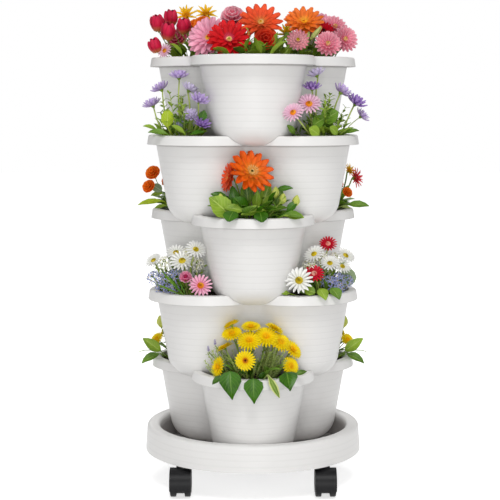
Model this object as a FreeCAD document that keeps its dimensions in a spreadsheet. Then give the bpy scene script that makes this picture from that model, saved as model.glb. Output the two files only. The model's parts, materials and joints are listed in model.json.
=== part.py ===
import FreeCAD, Part
import math
import os

import Sketcher

# A planter tower: five three-lobed tiers stacked on a round saucer that rolls on four
# twin-wheel casters. Millimetres, +Z up, origin on the floor below the middle of the tower,
# the viewer's side at -Y.

doc = FreeCAD.newDocument("planter_tower")
Vector = FreeCAD.Vector

# Driving dimensions, in millimetres and degrees
driving_sizes = {
    # plan of a tier
    "lobe_ring": 97.3,  # tower axis to the middle of a lobe
    "mouth_radius": 101.7,  # a lobe's wall, outside, at the rim's top
    "valley_radius": 32,  # hollow curve between two lobes, at the rim's top
    # wall of a tier
    "tier_height": 166,
    "tier_pitch": 146.4,  # from one tier's base to the next one's
    "wall": 2.6,
    "draft": 9.9,  # lean of the wall
    "floor_thick": 3,
    "base_round": 45,
    # rim of a tier, a hollow lip
    "rim_height": 17.6,
    "rim_width": 11.1,
    "rim_lean": 9.4,
    "rim_wall": 2.6,
    "rim_round": 4,
    # column inside a tier
    "column_foot": 30,
    "column_head": 22,
    "column_wall": 2.6,
    "column_hole": 6,
    # drains and their grids
    "drain_ring": 84,  # tower axis to the middle of a drain
    "drain_radius": 13,
    "grid_lip": 4,
    "grid_thick": 2,
    "grid_slot": 2.4,
    "grid_gap": 0.2,
    # nesting of the tiers and their potting mix
    "saddle_gap": 1,
    "mix_gap": 0.4,
    "mix_below_rim": 9,
    # saucer
    "saucer_room": 5.47,  # from a lobe's wall to the saucer's lip
    "saucer_height": 50,
    "saucer_lean": 3.4,
    "saucer_lip": 23.5,
    "saucer_wall": 3,
    "saucer_round": 7,
    "saucer_inner_lean": 5,
    "saucer_floor_rise": 1,
    "rib_height": 3,
    "rib_width": 3,
    # casters
    "caster_inset": 18.9,  # from the saucer's edge to a caster's stem
    "caster_trail": 17.6,
    "wheel_radius": 25,
    "wheel_width": 10,
    "wheel_crown": 3,
    "wheel_wall": 2.4,
    "wheel_spacing": 16,  # between the two wheels of a caster
    "axle_radius": 3,
    "axle_gap": 0.05,
    "wheel_edge": 1,  # bevel of a wheel's corners
    "hub_radius": 7,
    "hood_gap": 1.2,
    "hood_wall": 2.8,
    "hood_width": 40,
    "hood_drop": 17,  # how far below the axle the hood's ends reach, as an angle
    "web_gap": 0.5,
    "web_radius": 19,
    "stem_radius": 5,
    "stem_pin_radius": 4,
    "stem_pin_depth": 26,
    "collar_radius": 8,
    "collar_thick": 3,
    "swivel_gap": 0.3,
    "neck_rise": 1.7,
    "neck_radius": 9,
    "neck_foot": 4,  # how far the neck reaches down inside the hood
    "socket_radius": 5.5,
    "socket_depth": 30,
    "socket_wall": 4,
    "socket_drop": 1,
    "shank_end_gap": 2,  # from the shank's end to the socket's end
    "ring_height": 8,
    "ring_gap": 0.15,
    "ring_split": 1.5,
    "groove_depth": 1,
    "tool_reach": 1,  # how far a cutting form runs past what it cuts
    # plants: a mound of foliage with leaves round it, stalks and flower heads
    "foliage_out": 52,  # a lobe's middle to the middle of its foliage, outwards
    "foliage_radius": 44,
    "foliage_height": 42,
    "top_foliage": 76,
    "top_foliage_height": 42,
    "foliage_gap": 0.3,
    "leaf_length": 62,
    "leaf_width": 30,
    "leaf_thick": 4,
    "leaf_rise": 9,
    "stalk": 2.2,
    "stalk_root": 8,  # how deep in the foliage a stalk starts
    "stalk_seat": 2,  # how far a stalk runs up into its head
    "head_foot": 2.7,  # radius of a head's narrow end
    "hanging_lift": 2,  # a hanging leaf's root below the point it hangs from
    "hanging_seat": 6,  # its stalk's end below the same point
    "gerbera_width": 73,
    "carnation_width": 40,
    "daisy_width": 34,
    "aster_width": 27,
    "marigold_width": 25,
    "bud_width": 17,
}

sizes = doc.addObject("Spreadsheet::Sheet", "Sizes")
for row, (alias, value) in enumerate(driving_sizes.items(), start=1):
    sizes.set(f"A{row}", alias)
    sizes.set(f"B{row}", str(value))
    sizes.setAlias(f"B{row}", alias)

# Sizes that follow from the driving ones
derived_sizes = {
    "hood_radius": "=wheel_radius + hood_gap + hood_wall",
    "neck_top": "=wheel_radius + hood_radius + neck_rise",
    "collar_top": "=neck_top + swivel_gap + collar_thick",
    "saucer_level": "=collar_top - socket_drop",
    "saucer_floor": "=saucer_floor_rise + saucer_wall",
    "base_level": "=saucer_level + saucer_floor + rib_height",
    "nest_depth": "=tier_height - tier_pitch",
    "mix_level": "=tier_height - mix_below_rim",
    "mix_bottom": "=floor_thick + grid_thick + mix_gap",
    "column_height": "=tier_pitch",
    "lip_level": "=saucer_height - saucer_floor - rib_height",
    "lobe_reach": "=lobe_ring + mouth_radius - (tier_height - lip_level) * tan(draft * 1 deg)",
    "bowl_radius": "=lobe_reach + saucer_room",
    "lip_radius": "=bowl_radius + saucer_lip",
    "saucer_radius": "=lip_radius + saucer_lean",
    "caster_ring": "=saucer_radius - caster_inset",
}
for row, (alias, formula) in enumerate(derived_sizes.items(), start=1):
    sizes.set(f"D{row}", alias)
    sizes.set(f"E{row}", formula)
    sizes.setAlias(f"E{row}", alias)
doc.recompute()

TIER_COUNT = 5
TIERS = range(1, TIER_COUNT + 1)  # 1 is the top one
LOBES = (-90, 30, 150)  # directions of a tier's lobes, as degrees from +X
CORNERS = (45, 135, 225, 315)  # directions of the casters


# Helpers for bodies, sketches and primitives
def bind(thing, expressions):
    """Bind properties of a document object to expressions."""
    for path, expression in expressions.items():
        thing.setExpression(path, expression)
    return thing


def placed(expressions):
    """Keywords as paths of properties: Base_x becomes Placement.Base.x."""
    paths = {}
    for key, text in expressions.items():
        path = key.replace("_", ".")
        paths["Placement." + path if path.startswith("Base.") else path] = text
    return paths


def primitive(kind, name, **expressions):
    """A Part primitive; Base_x and the like set its place."""
    return bind(doc.addObject("Part::" + kind, name), placed(expressions))


def cut(name, base, tool):
    result = doc.addObject("Part::Cut", name)
    result.Base = base
    result.Tool = tool
    return result


def fuse(name, shapes):
    result = doc.addObject("Part::MultiFuse", name)
    result.Shapes = shapes
    result.Refine = False
    return result


def compound(name, members):
    result = doc.addObject("Part::Compound", name)
    result.Links = members
    return result


def copy_of(name, original, **expressions):
    """The same piece again, at a place and a turn about Z of its own."""
    result = doc.addObject("App::Link", name)
    result.LinkedObject = original
    result.LinkTransform = True
    return bind(result, placed(expressions))


def sketch_on(body, role, name, level="0"):
    sketch = body.newObject("Sketcher::SketchObject", name)
    plane = next(item for item in body.Origin.OriginFeatures if item.Role == role)
    sketch.AttachmentSupport = (plane, [""])
    sketch.MapMode = "FlatFace"
    sketch.setExpression("AttachmentOffset.Base.z", level)
    return sketch


def constrain(sketch, expression, *constraint):
    index = sketch.addConstraint(Sketcher.Constraint(*constraint))
    sketch.setExpression(f"Constraints[{index}]", expression)


def outline(sketch, points):
    """A closed outline of straight lines through points given as pairs of expressions."""
    count = len(points)
    turn = [2 * math.pi * place / count for place in range(count)]
    start = [Vector(sizes.mouth_radius * math.cos(angle), sizes.mouth_radius * math.sin(angle), 0)
             for angle in turn]
    for index in range(count):
        sketch.addGeometry(Part.LineSegment(start[index], start[(index + 1) % count]))
    for index, (across, up) in enumerate(points):
        sketch.addConstraint(Sketcher.Constraint("Coincident", index, 2, (index + 1) % count, 1))
        constrain(sketch, across, "DistanceX", index, 1, start[index].x)
        constrain(sketch, up, "DistanceY", index, 1, start[index].y)


def polar(radius, angle):
    return Vector(radius * math.cos(math.radians(angle)), radius * math.sin(math.radians(angle)), 0)


def arc_between(centre, radius, first, last):
    """An arc that runs from the direction of one point round to the direction of another."""
    begin = math.atan2(first.y - centre.y, first.x - centre.x)
    end = math.atan2(last.y - centre.y, last.x - centre.x)
    if end < begin:
        end += 2 * math.pi
    return Part.ArcOfCircle(Part.Circle(centre, Vector(0, 0, 1), radius), begin, end)


def trefoil(body, name, grow, level):
    """The plan of a tier: three lobes joined by hollow curves, grown outwards by an expression."""
    sketch = sketch_on(body, "XY_Plane", name, level)
    ring = sizes.lobe_ring
    lobe_radius = sizes.mouth_radius
    hollow_radius = sizes.valley_radius
    reach = lobe_radius + hollow_radius
    valley_ring = ring / 2 + math.sqrt(reach ** 2 - 0.75 * ring ** 2)
    for angle in LOBES:
        middle = polar(ring, angle)
        before = polar(valley_ring, angle - 60)
        after = polar(valley_ring, angle + 60)
        sketch.addGeometry(arc_between(middle, lobe_radius, before, after))
        sketch.addGeometry(arc_between(after, hollow_radius, polar(ring, angle + 120), middle))
    for index, angle in enumerate(LOBES):
        lobe = 2 * index
        valley = lobe + 1
        next_lobe = (lobe + 2) % 6
        sketch.addConstraint(Sketcher.Constraint("Tangent", lobe, 2, valley, 2))
        sketch.addConstraint(Sketcher.Constraint("Tangent", valley, 1, next_lobe, 1))
        middle = polar(ring, angle)
        constrain(sketch, f"Sizes.lobe_ring * cos({angle} deg)", "DistanceX", lobe, 3, middle.x)
        constrain(sketch, f"Sizes.lobe_ring * sin({angle} deg)", "DistanceY", lobe, 3, middle.y)
        constrain(sketch, f"Sizes.mouth_radius + ({grow})", "Radius", lobe, lobe_radius)
        constrain(sketch, f"Sizes.valley_radius - ({grow})", "Radius", valley, hollow_radius)
    return sketch


def pad(body, name, sketch, length, taper, downwards=True, pocket=False):
    feature = body.newObject("PartDesign::Pocket" if pocket else "PartDesign::Pad", name)
    feature.Profile = sketch
    feature.Reversed = downwards
    return bind(feature, {"Length": length, "TaperAngle": taper})


def edges_at(shape, level):
    """Names of the edges that lie flat at one level."""
    names = []
    for number, edge in enumerate(shape.Edges, start=1):
        if abs(edge.BoundBox.ZMin - level) < 0.01 and abs(edge.BoundBox.ZMax - level) < 0.01:
            names.append(f"Edge{number}")
    return names


def rounded(body, name, feature, level, radius):
    """Round the edges of a feature that lie at one level."""
    doc.recompute()
    result = body.newObject("PartDesign::Fillet", name)
    result.Base = (feature, edges_at(feature.Shape, level))
    result.setExpression("Radius", radius)
    return result


def pot_form(name, grow, top, bottom, corner):
    """The drafted, round-bottomed form of a tier, grown outwards, between two levels."""
    body = doc.addObject("PartDesign::Body", name)
    lean = "tan(Sizes.draft * 1 deg)"
    sketch = trefoil(body, name + "_plan", f"{grow} - (Sizes.tier_height - ({top})) * {lean}", top)
    block = pad(body, name + "_block", sketch, f"({top}) - ({bottom})", "-Sizes.draft")
    doc.recompute()
    rounded(body, name + "_corner", block, block.Shape.BoundBox.ZMin, corner)
    return body


# One tier: a rim that is a hollow lip, a drafted wall, a floor with three drains, a column
rim_bottom = "Sizes.tier_height - Sizes.rim_height"
skirt_grow = "Sizes.rim_width + Sizes.rim_height * tan(Sizes.rim_lean * 1 deg)"

tier_skin = doc.addObject("PartDesign::Body", "tier_skin")
rim = pad(tier_skin, "rim", trefoil(tier_skin, "rim_plan", "Sizes.rim_width", "Sizes.tier_height"),
          "Sizes.rim_height", "Sizes.rim_lean")
rim_edge = rounded(tier_skin, "rim_edge", rim, sizes.tier_height, "Sizes.rim_round")
hollow_plan = trefoil(tier_skin, "rim_hollow_plan", f"{skirt_grow} - Sizes.rim_wall", rim_bottom)
pad(tier_skin, "rim_hollow", hollow_plan, "Sizes.rim_height - Sizes.rim_wall", "-Sizes.rim_lean",
    pocket=True)
wall_plan = trefoil(tier_skin, "wall_plan", "0", "Sizes.tier_height")
wall_block = pad(tier_skin, "wall_block", wall_plan, "Sizes.tier_height", "-Sizes.draft")
rounded(tier_skin, "wall_corner", wall_block, 0, "Sizes.base_round")

wall_across = "-Sizes.wall / cos(Sizes.draft * 1 deg)"
tier_core = pot_form("tier_core", wall_across, "Sizes.tier_height", "Sizes.floor_thick",
                     "Sizes.base_round - Sizes.wall")
tier_shell = cut("tier_shell", tier_skin, tier_core)

column_post = primitive("Cone", "column_post", Radius1="Sizes.column_foot", Radius2="Sizes.column_head",
                        Height="Sizes.column_height")
column_bore = primitive("Cone", "column_bore", Radius1="Sizes.column_foot - Sizes.column_wall",
                        Radius2="Sizes.column_head - Sizes.column_wall",
                        Height="Sizes.column_height - Sizes.floor_thick")
column_drip = primitive("Cylinder", "column_drip", Radius="Sizes.column_hole", Height="Sizes.column_height")
drains = []
for number, angle in enumerate(LOBES, start=1):
    drains.append(primitive("Cylinder", f"drain_{number}", Radius="Sizes.drain_radius",
                            Height="2 * Sizes.floor_thick", Base_x=f"Sizes.drain_ring * cos({angle} deg)",
                            Base_y=f"Sizes.drain_ring * sin({angle} deg)", Base_z="-Sizes.floor_thick / 2"))
tier_body = fuse("tier_body", [tier_shell, column_post])
tier_openings = fuse("tier_openings", [column_bore, column_drip] + drains)
tier_plain = cut("tier_plain", tier_body, tier_openings)

# The lower tiers have saddles: the foot of the tier above, a little larger, is cut out of the rim
saddle_form = pot_form("saddle_form", "Sizes.saddle_gap", "Sizes.tier_height", "0", "Sizes.base_round")
half_turn = FreeCAD.Rotation(Vector(0, 0, 1), 180)
saddle_form.Placement.Rotation = half_turn
saddle_form.setExpression("Placement.Base.z", "Sizes.tier_pitch")
tier_saddled = cut("tier_saddled", tier_plain, saddle_form)


# Flow grids: slotted discs that lie loose in the drains
grid_disc = primitive("Cylinder", "grid_disc", Radius="Sizes.drain_radius + Sizes.grid_lip",
                      Height="Sizes.grid_thick", Base_z="Sizes.floor_thick")
grid_spigot = primitive("Cylinder", "grid_spigot", Radius="Sizes.drain_radius - Sizes.grid_gap",
                        Height="Sizes.floor_thick")
grid_blank = fuse("grid_blank", [grid_disc, grid_spigot])
slots = []
for place in (-2, -1, 0, 1, 2):
    reach = "sqrt((Sizes.drain_radius - 2 * Sizes.grid_slot) ^ 2"
    reach += f" - ({abs(place)} * 1.6 * Sizes.grid_slot) ^ 2)"
    slots.append(primitive("Box", f"grid_slot_{place + 3}", Length="Sizes.grid_slot", Width=f"2 * {reach}",
                           Height="Sizes.tier_height", Base_x=f"({place} * 1.6 - 0.5) * Sizes.grid_slot",
                           Base_y=f"-{reach}", Base_z="-Sizes.floor_thick"))
grid = cut("grid", grid_blank, fuse("grid_slots", slots))
grids = []
for number, angle in enumerate(LOBES, start=1):
    grids.append(copy_of(f"grid_{number}", grid, Base_x=f"Sizes.drain_ring * cos({angle} deg)",
                         Base_y=f"Sizes.drain_ring * sin({angle} deg)"))
grid_set = compound("grid_set", grids)

# Potting mix: it fills a tier round the column, and lies clear of the foot of the tier above
mix_form = pot_form("mix_form", f"{wall_across} - Sizes.mix_gap", "Sizes.mix_level", "Sizes.mix_bottom",
                    "Sizes.base_round - Sizes.wall")
mix_hole = primitive("Cone", "mix_hole", Radius1="Sizes.column_foot + Sizes.mix_gap",
                     Radius2="Sizes.column_head + Sizes.mix_gap", Height="Sizes.column_height")
mix_top = cut("mix_top", mix_form, mix_hole)
mix_dent = pot_form("mix_dent", "Sizes.saddle_gap", "Sizes.tier_height", "0", "Sizes.base_round")
mix_dent.Placement.Rotation = half_turn
mix_dent.setExpression("Placement.Base.z", "Sizes.tier_pitch - Sizes.mix_gap")
mix_under = cut("mix_under", mix_top, mix_dent)

pieces = []
for tier in TIERS:
    level = f"Sizes.base_level + {TIERS[-1] - tier} * Sizes.tier_pitch"
    turned = FreeCAD.Rotation(Vector(0, 0, 1), 180 if tier % 2 == 0 else 0)
    top = tier == TIERS[0]
    for name, original in ((f"tier_{tier}", tier_plain if top else tier_saddled),
                           (f"flow_grids_tier_{tier}", grid_set),
                           (f"potting_mix_tier_{tier}", mix_top if top else mix_under)):
        piece = copy_of(name, original)
        piece.Placement = FreeCAD.Placement(Vector(), turned)
        piece.setExpression("Placement.Base.z", level)
        pieces.append(piece)

# Saucer: one moulding with a hollow lip, ribs that carry the stack, and four stem sockets
saucer_bowl = doc.addObject("PartDesign::Body", "saucer_bowl")
section = sketch_on(saucer_bowl, "XZ_Plane", "saucer_section")
inner_foot = "Sizes.bowl_radius - Sizes.saucer_inner_lean"
outline(section, [
    ("0", "Sizes.saucer_floor_rise"),
    (f"{inner_foot} - Sizes.saucer_wall", "Sizes.saucer_floor_rise"),
    (f"{inner_foot} + Sizes.saucer_wall", "Sizes.saucer_floor_rise"),
    ("Sizes.bowl_radius + Sizes.saucer_wall", "Sizes.saucer_height - Sizes.saucer_wall"),
    ("Sizes.lip_radius - Sizes.saucer_wall", "Sizes.saucer_height - Sizes.saucer_wall"),
    ("Sizes.saucer_radius - Sizes.saucer_wall", "0"),
    ("Sizes.saucer_radius", "0"),
    ("Sizes.lip_radius", "Sizes.saucer_height"),
    ("Sizes.bowl_radius", "Sizes.saucer_height"),
    (inner_foot, "Sizes.saucer_floor"),
    ("0", "Sizes.saucer_floor"),
])
bowl = saucer_bowl.newObject("PartDesign::Revolution", "bowl")
bowl.Profile = section
bowl.ReferenceAxis = (section, ["V_Axis"])
bowl.Angle = 360
doc.recompute()
lip_edges = edges_at(bowl.Shape, sizes.saucer_height)
lip_round = saucer_bowl.newObject("PartDesign::Fillet", "lip_round")
lip_round.Base = (bowl, lip_edges)
lip_round.setExpression("Radius", "Sizes.saucer_round")

ribs = []
rib_length = f"{inner_foot} - Sizes.column_foot"
for number in range(12):
    angle = 30 * number
    rib = primitive("Box", f"rib_{number + 1}", Length=rib_length, Width="Sizes.rib_width",
                    Height="Sizes.rib_height + Sizes.saucer_wall / 2",
                    Base_z="Sizes.saucer_floor - Sizes.saucer_wall / 2")
    rib.Placement.Rotation = FreeCAD.Rotation(Vector(0, 0, 1), angle)
    sine = f"sin({angle} deg)"
    cosine = f"cos({angle} deg)"
    bind(rib, {
        "Placement.Base.x": f"Sizes.column_foot * {cosine} + Sizes.rib_width / 2 * {sine}",
        "Placement.Base.y": f"Sizes.column_foot * {sine} - Sizes.rib_width / 2 * {cosine}",
    })
    ribs.append(rib)


def on_caster_ring(angle):
    """The place of a caster's stem, as keywords for a primitive."""
    return {"Base_x": f"Sizes.caster_ring * cos({angle} deg)",
            "Base_y": f"Sizes.caster_ring * sin({angle} deg)"}


bosses = []
sockets = []
for number, angle in enumerate(CORNERS, start=1):
    place = on_caster_ring(angle)
    boss_radius = "Sizes.socket_radius + Sizes.socket_wall"
    bosses.append(primitive("Cylinder", f"boss_{number}", Radius=boss_radius,
                            Height="Sizes.saucer_height - Sizes.saucer_wall / 2 - Sizes.socket_drop",
                            Base_z="Sizes.socket_drop", **place))
    sockets.append(primitive("Cylinder", f"socket_{number}", Radius="Sizes.socket_radius",
                             Height="Sizes.socket_depth", Base_z="Sizes.socket_drop", **place))
# A boss stands partly in the bowl's wall, so what would reach into the bowl is cut off again
bowl_space = primitive("Cone", "bowl_space", Radius1=inner_foot, Radius2="Sizes.bowl_radius",
                       Height="Sizes.saucer_height - Sizes.saucer_floor", Base_z="Sizes.saucer_floor")
boss_set = cut("boss_set", fuse("boss_group", bosses), bowl_space)
saucer_body = fuse("saucer_body", [saucer_bowl, boss_set] + ribs)
saucer_moulding = cut("saucer_moulding", saucer_body, fuse("socket_set", sockets))
pieces.append(copy_of("saucer", saucer_moulding, Base_z="Sizes.saucer_level"))

# Caster: its own frame has the stem's axis as Z and the floor as XY
# The hood is a band round the top of both wheels, carried by a web between them
trail = "-Sizes.caster_trail"
level_turn = FreeCAD.Rotation(Vector(0, 1, 0), 90)


def across(name, radius, width, depth=trail):
    """A cylinder along the axle, centred on the caster."""
    shape = primitive("Cylinder", name, Radius=radius, Height=width, Base_x=f"-({width}) / 2",
                      Base_y=depth, Base_z="Sizes.wheel_radius")
    shape.Placement.Rotation = level_turn
    return shape


web_width = "Sizes.wheel_spacing - 2 * Sizes.web_gap"
hood_tube = cut("hood_tube", across("hood_outside", "Sizes.hood_radius", "Sizes.hood_width"),
                across("hood_inside", "Sizes.hood_radius - Sizes.hood_wall", "2 * Sizes.hood_width"))
# The band is open below: a block as wide as its two ends are apart is cut away
hood_end = "Sizes.wheel_radius - Sizes.hood_radius * sin(Sizes.hood_drop * 1 deg)"
below = primitive("Box", "hood_below", Length="2 * Sizes.hood_width", Width="3 * Sizes.hood_radius",
                  Height="Sizes.hood_radius", Base_x="-Sizes.hood_width",
                  Base_y=f"{trail} - 1.5 * Sizes.hood_radius", Base_z=f"{hood_end} - Sizes.hood_radius")
hood_band = cut("hood_band", hood_tube, below)
web_disc = across("web_disc", "Sizes.web_radius", web_width)
web_block = across("web_block", "Sizes.hood_radius - Sizes.hood_wall / 2", web_width)
web_top = primitive("Box", "web_top", Length=web_width, Width="3 * Sizes.hood_radius",
                    Height="2 * Sizes.hood_radius", Base_x=f"-({web_width}) / 2",
                    Base_y=f"{trail} - 1.5 * Sizes.hood_radius", Base_z="Sizes.wheel_radius")
web_upper = doc.addObject("Part::Common", "web_upper")
web_upper.Base = web_block
web_upper.Tool = web_top
neck_height = "Sizes.hood_wall + Sizes.neck_rise + Sizes.neck_foot"
neck = primitive("Cylinder", "neck", Radius="Sizes.neck_radius", Height=neck_height,
                 Base_z=f"Sizes.neck_top - ({neck_height})")
post_height = "Sizes.stem_pin_depth + Sizes.hood_wall"
pin_post = primitive("Cylinder", "pin_post", Radius=f"({web_width}) / 2", Height=post_height,
                     Base_z=f"Sizes.neck_top - ({post_height})")
pin_bore = primitive("Cylinder", "pin_bore", Radius="Sizes.stem_pin_radius + Sizes.axle_gap",
                     Height="Sizes.stem_pin_depth + Sizes.tool_reach",
                     Base_z="Sizes.neck_top - Sizes.stem_pin_depth")
axle_bore = across("axle_bore", "Sizes.axle_radius + Sizes.axle_gap", "2 * Sizes.hood_width")
housing = cut("housing", fuse("housing_body", [hood_band, web_disc, web_upper, neck, pin_post]),
              fuse("housing_bores", [pin_bore, axle_bore]))

wheel_reach = "Sizes.wheel_spacing / 2 + Sizes.wheel_width"
axle = across("axle", "Sizes.axle_radius", f"2 * ({wheel_reach})")

# Stem: a pin that the housing turns on, a collar below the socket, and the shank with a groove
stem_foot = "Sizes.neck_top - Sizes.stem_pin_depth + Sizes.swivel_gap"
stem_pin = primitive("Cylinder", "stem_pin", Radius="Sizes.stem_pin_radius",
                     Height="Sizes.stem_pin_depth + Sizes.collar_thick / 2", Base_z=stem_foot)
collar = primitive("Cylinder", "collar", Radius="Sizes.collar_radius", Height="Sizes.collar_thick",
                   Base_z="Sizes.neck_top + Sizes.swivel_gap")
shank = primitive("Cylinder", "shank", Radius="Sizes.stem_radius",
                  Height="Sizes.socket_depth - Sizes.shank_end_gap", Base_z="Sizes.collar_top")
groove_level = "Sizes.collar_top + Sizes.socket_depth / 2 - Sizes.ring_height / 2"
ring_inside = "Sizes.stem_radius - Sizes.groove_depth"
groove_outer = primitive("Cylinder", "groove_outer", Radius="Sizes.stem_radius + Sizes.tool_reach",
                         Height="Sizes.ring_height + 2 * Sizes.ring_gap",
                         Base_z=f"{groove_level} - Sizes.ring_gap")
groove_core = primitive("Cylinder", "groove_core", Radius=f"{ring_inside} - Sizes.ring_gap",
                        Height="Sizes.ring_height + 2 * (Sizes.ring_gap + Sizes.tool_reach)",
                        Base_z=f"{groove_level} - Sizes.ring_gap - Sizes.tool_reach")
stem = cut("stem", fuse("stem_blank", [stem_pin, collar, shank]), cut("groove", groove_outer, groove_core))
ring_outer = primitive("Cylinder", "ring_outer", Radius="Sizes.socket_radius - Sizes.axle_gap",
                       Height="Sizes.ring_height", Base_z=groove_level)
ring_bore = primitive("Cylinder", "ring_bore", Radius=ring_inside,
                      Height="Sizes.ring_height + 2 * Sizes.tool_reach",
                      Base_z=f"{groove_level} - Sizes.tool_reach")
ring_split = primitive("Box", "ring_split", Length="Sizes.ring_split", Width="2 * Sizes.socket_radius",
                       Height="Sizes.ring_height + 2 * Sizes.tool_reach", Base_x="-Sizes.ring_split / 2",
                       Base_z=f"{groove_level} - Sizes.tool_reach")
ring = cut("ring", ring_outer, fuse("ring_openings", [ring_bore, ring_split]))

# Wheel: a tread and a hub joined by a dished flank, open on the side that faces the web
wheel_body = doc.addObject("PartDesign::Body", "wheel_body")
wheel_section = sketch_on(wheel_body, "XZ_Plane", "wheel_section")
near = "Sizes.wheel_spacing / 2"
far = wheel_reach
wall_in = "Sizes.wheel_radius - Sizes.wheel_wall"
outline(wheel_section, [
    (near, "Sizes.axle_radius + Sizes.axle_gap"),
    (f"{far} + Sizes.wheel_crown - Sizes.wheel_edge", "Sizes.axle_radius + Sizes.axle_gap"),
    (f"{far} + Sizes.wheel_crown", "Sizes.axle_radius + Sizes.axle_gap + Sizes.wheel_edge"),
    (f"{far} + Sizes.wheel_crown", "Sizes.hub_radius"),
    (f"{far} + Sizes.wheel_crown * 0.8", "Sizes.wheel_radius * 0.66"),
    (f"{far} + Sizes.wheel_crown * 0.25", "Sizes.wheel_radius - Sizes.wheel_edge"),
    (f"{far} - Sizes.wheel_edge", "Sizes.wheel_radius"),
    (f"{near} + Sizes.wheel_edge", "Sizes.wheel_radius"),
    (near, "Sizes.wheel_radius - Sizes.wheel_edge"),
    (near, wall_in),
    (f"{far} - Sizes.wheel_wall", wall_in),
    (f"{far} + Sizes.wheel_crown - Sizes.wheel_wall", "Sizes.hub_radius"),
    (near, "Sizes.hub_radius"),
])
tread = wheel_body.newObject("PartDesign::Revolution", "tread")
tread.Profile = wheel_section
tread.ReferenceAxis = (wheel_section, ["H_Axis"])
tread.Angle = 360

rings = []
for number, angle in enumerate(CORNERS, start=1):
    corner = ("back_right", "back_left", "front_left", "front_right")[number - 1]
    place = on_caster_ring(angle)
    wheel_place = {"Base_x": place["Base_x"], "Base_y": place["Base_y"] + " - Sizes.caster_trail",
                   "Base_z": "Sizes.wheel_radius"}
    pieces.append(copy_of(f"caster_stem_{corner}", stem, **place))
    pieces.append(copy_of(f"caster_housing_{corner}", housing, **place))
    pieces.append(copy_of(f"caster_axle_{corner}", axle, **place))
    for side, facing in (("right", 0), ("left", 180)):
        wheel = copy_of(f"caster_wheel_{corner}_{side}", wheel_body)
        wheel.Placement = FreeCAD.Placement(Vector(), FreeCAD.Rotation(Vector(0, 0, 1), facing))
        bind(wheel, placed(wheel_place))
        pieces.append(wheel)
    rings.append(copy_of(f"grip_ring_{corner}", ring, **place))
pieces.append(compound("caster_grip_rings", rings))

# Flowers of each pocket. A head's place is counted from the middle of its lobe at the rim's top:
# to the right, to the back and up
beds = {
    "flowers_tier_1_front": (1, -90, [
        ("gerbera", -80, 27, 35), ("gerbera", -44, -3, 28), ("carnation", -37, 57, 73),
        ("gerbera", 11, 17, 62), ("carnation", 22, -16, 31), ("carnation", 74, 10, 26)]),
    "flowers_tier_1_back_left": (1, 150, [
        ("bud", -101, -19, 60), ("bud", -77, 11, 72), ("bud", -78, -49, 44), ("bud", -50, -29, 56),
        ("carnation", -92, -40, 22), ("marigold", -9, 11, 76), ("marigold", -20, 40, 60)]),
    "flowers_tier_1_back_right": (1, 30, [
        ("gerbera", 16, -29, 70), ("carnation", 72, 11, 66), ("marigold", 55, -19, 54),
        ("carnation", 62, -50, 22), ("marigold", 91, -29, 29), ("daisy", 0, 60, 56)]),
    "flowers_tier_2_left": (2, 210, [
        ("aster", -53, -31, 111), ("aster", -87, -21, 89), ("aster", -103, -21, 57),
        ("aster", -32, -51, 83), ("aster", -14, -95, 69), ("aster", -29, -71, 34)]),
    "flowers_tier_2_right": (2, 330, [
        ("aster", 34, -51, 108), ("aster", 24, -79, 88), ("aster", 80, -21, 82), ("aster", 104, -31, 59),
        ("aster", 118, -8, 50), ("daisy", 18, -75, 58), ("daisy", -10, -119, 42)]),
    "flowers_tier_2_back": (2, 90, [
        ("aster", -48, 52, 92), ("aster", 30, 60, 104), ("daisy", 0, 72, 70), ("aster", 58, 50, 66),
        ("aster", -20, 88, 48)]),
    "flowers_tier_3_front": (3, -90, [
        ("gerbera", -2, -68, 82), ("carnation", -50, -58, 70), ("bud", -58, -73, 33), ("bud", 40, -73, 50),
        ("bud", 60, -70, 38)]),
    "flowers_tier_3_back_left": (3, 150, [
        ("marigold", -110, -14, 70), ("marigold", -118, -14, 43), ("carnation", -50, 52, 66),
        ("marigold", -84, 40, 52)]),
    "flowers_tier_3_back_right": (3, 30, [
        ("marigold", 104, -14, 80), ("marigold", 112, -18, 58), ("carnation", 50, 50, 60),
        ("marigold", 84, 44, 44)]),
    "flowers_tier_4_left": (4, 210, [
        ("daisy", -104, -11, 54), ("daisy", -61, -21, 72), ("daisy", -24, -76, 84), ("daisy", -48, -55, 58),
        ("carnation", -104, -31, 24), ("aster", -63, -66, 39), ("bud", -40, -76, 27),
        ("daisy", -14, -88, 20)]),
    "flowers_tier_4_right": (4, 330, [
        ("daisy", 30, -58, 72), ("daisy", 60, -41, 52), ("daisy", 91, -11, 63), ("daisy", 58, -14, 88),
        ("carnation", 2, -104, 28), ("daisy", 29, -74, 38), ("carnation", 76, -54, 24)]),
    "flowers_tier_4_back": (4, 90, [
        ("daisy", -46, 60, 70), ("daisy", 14, 66, 84), ("daisy", 52, 56, 52), ("aster", -16, 84, 44)]),
    "flowers_tier_5_front": (5, -90, [
        ("daisy", -39, -54, 92), ("daisy", -4, -60, 88), ("daisy", -8, -66, 64), ("daisy", 24, -60, 72),
        ("daisy", 52, -56, 58), ("daisy", 74, -56, 42), ("daisy", -50, -56, 50), ("daisy", -15, -80, 34),
        ("daisy", -64, -68, 20)]),
    "flowers_tier_5_back_left": (5, 150, [
        ("aster", -104, -16, 34), ("aster", -96, -10, 62), ("daisy", -50, 50, 64), ("daisy", -88, 30, 48)]),
    "flowers_tier_5_back_right": (5, 30, [
        ("aster", 102, -16, 32), ("aster", 94, -10, 62), ("daisy", 46, 54, 66), ("daisy", 88, 32, 46)]),
}
# Leaves that hang over a rim: where the leaf's top is, to the right, to the back and up
hanging_leaves = {
    "flowers_tier_5_front": [(-40, -122, 14), (6, -128, 14)],
}
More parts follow.
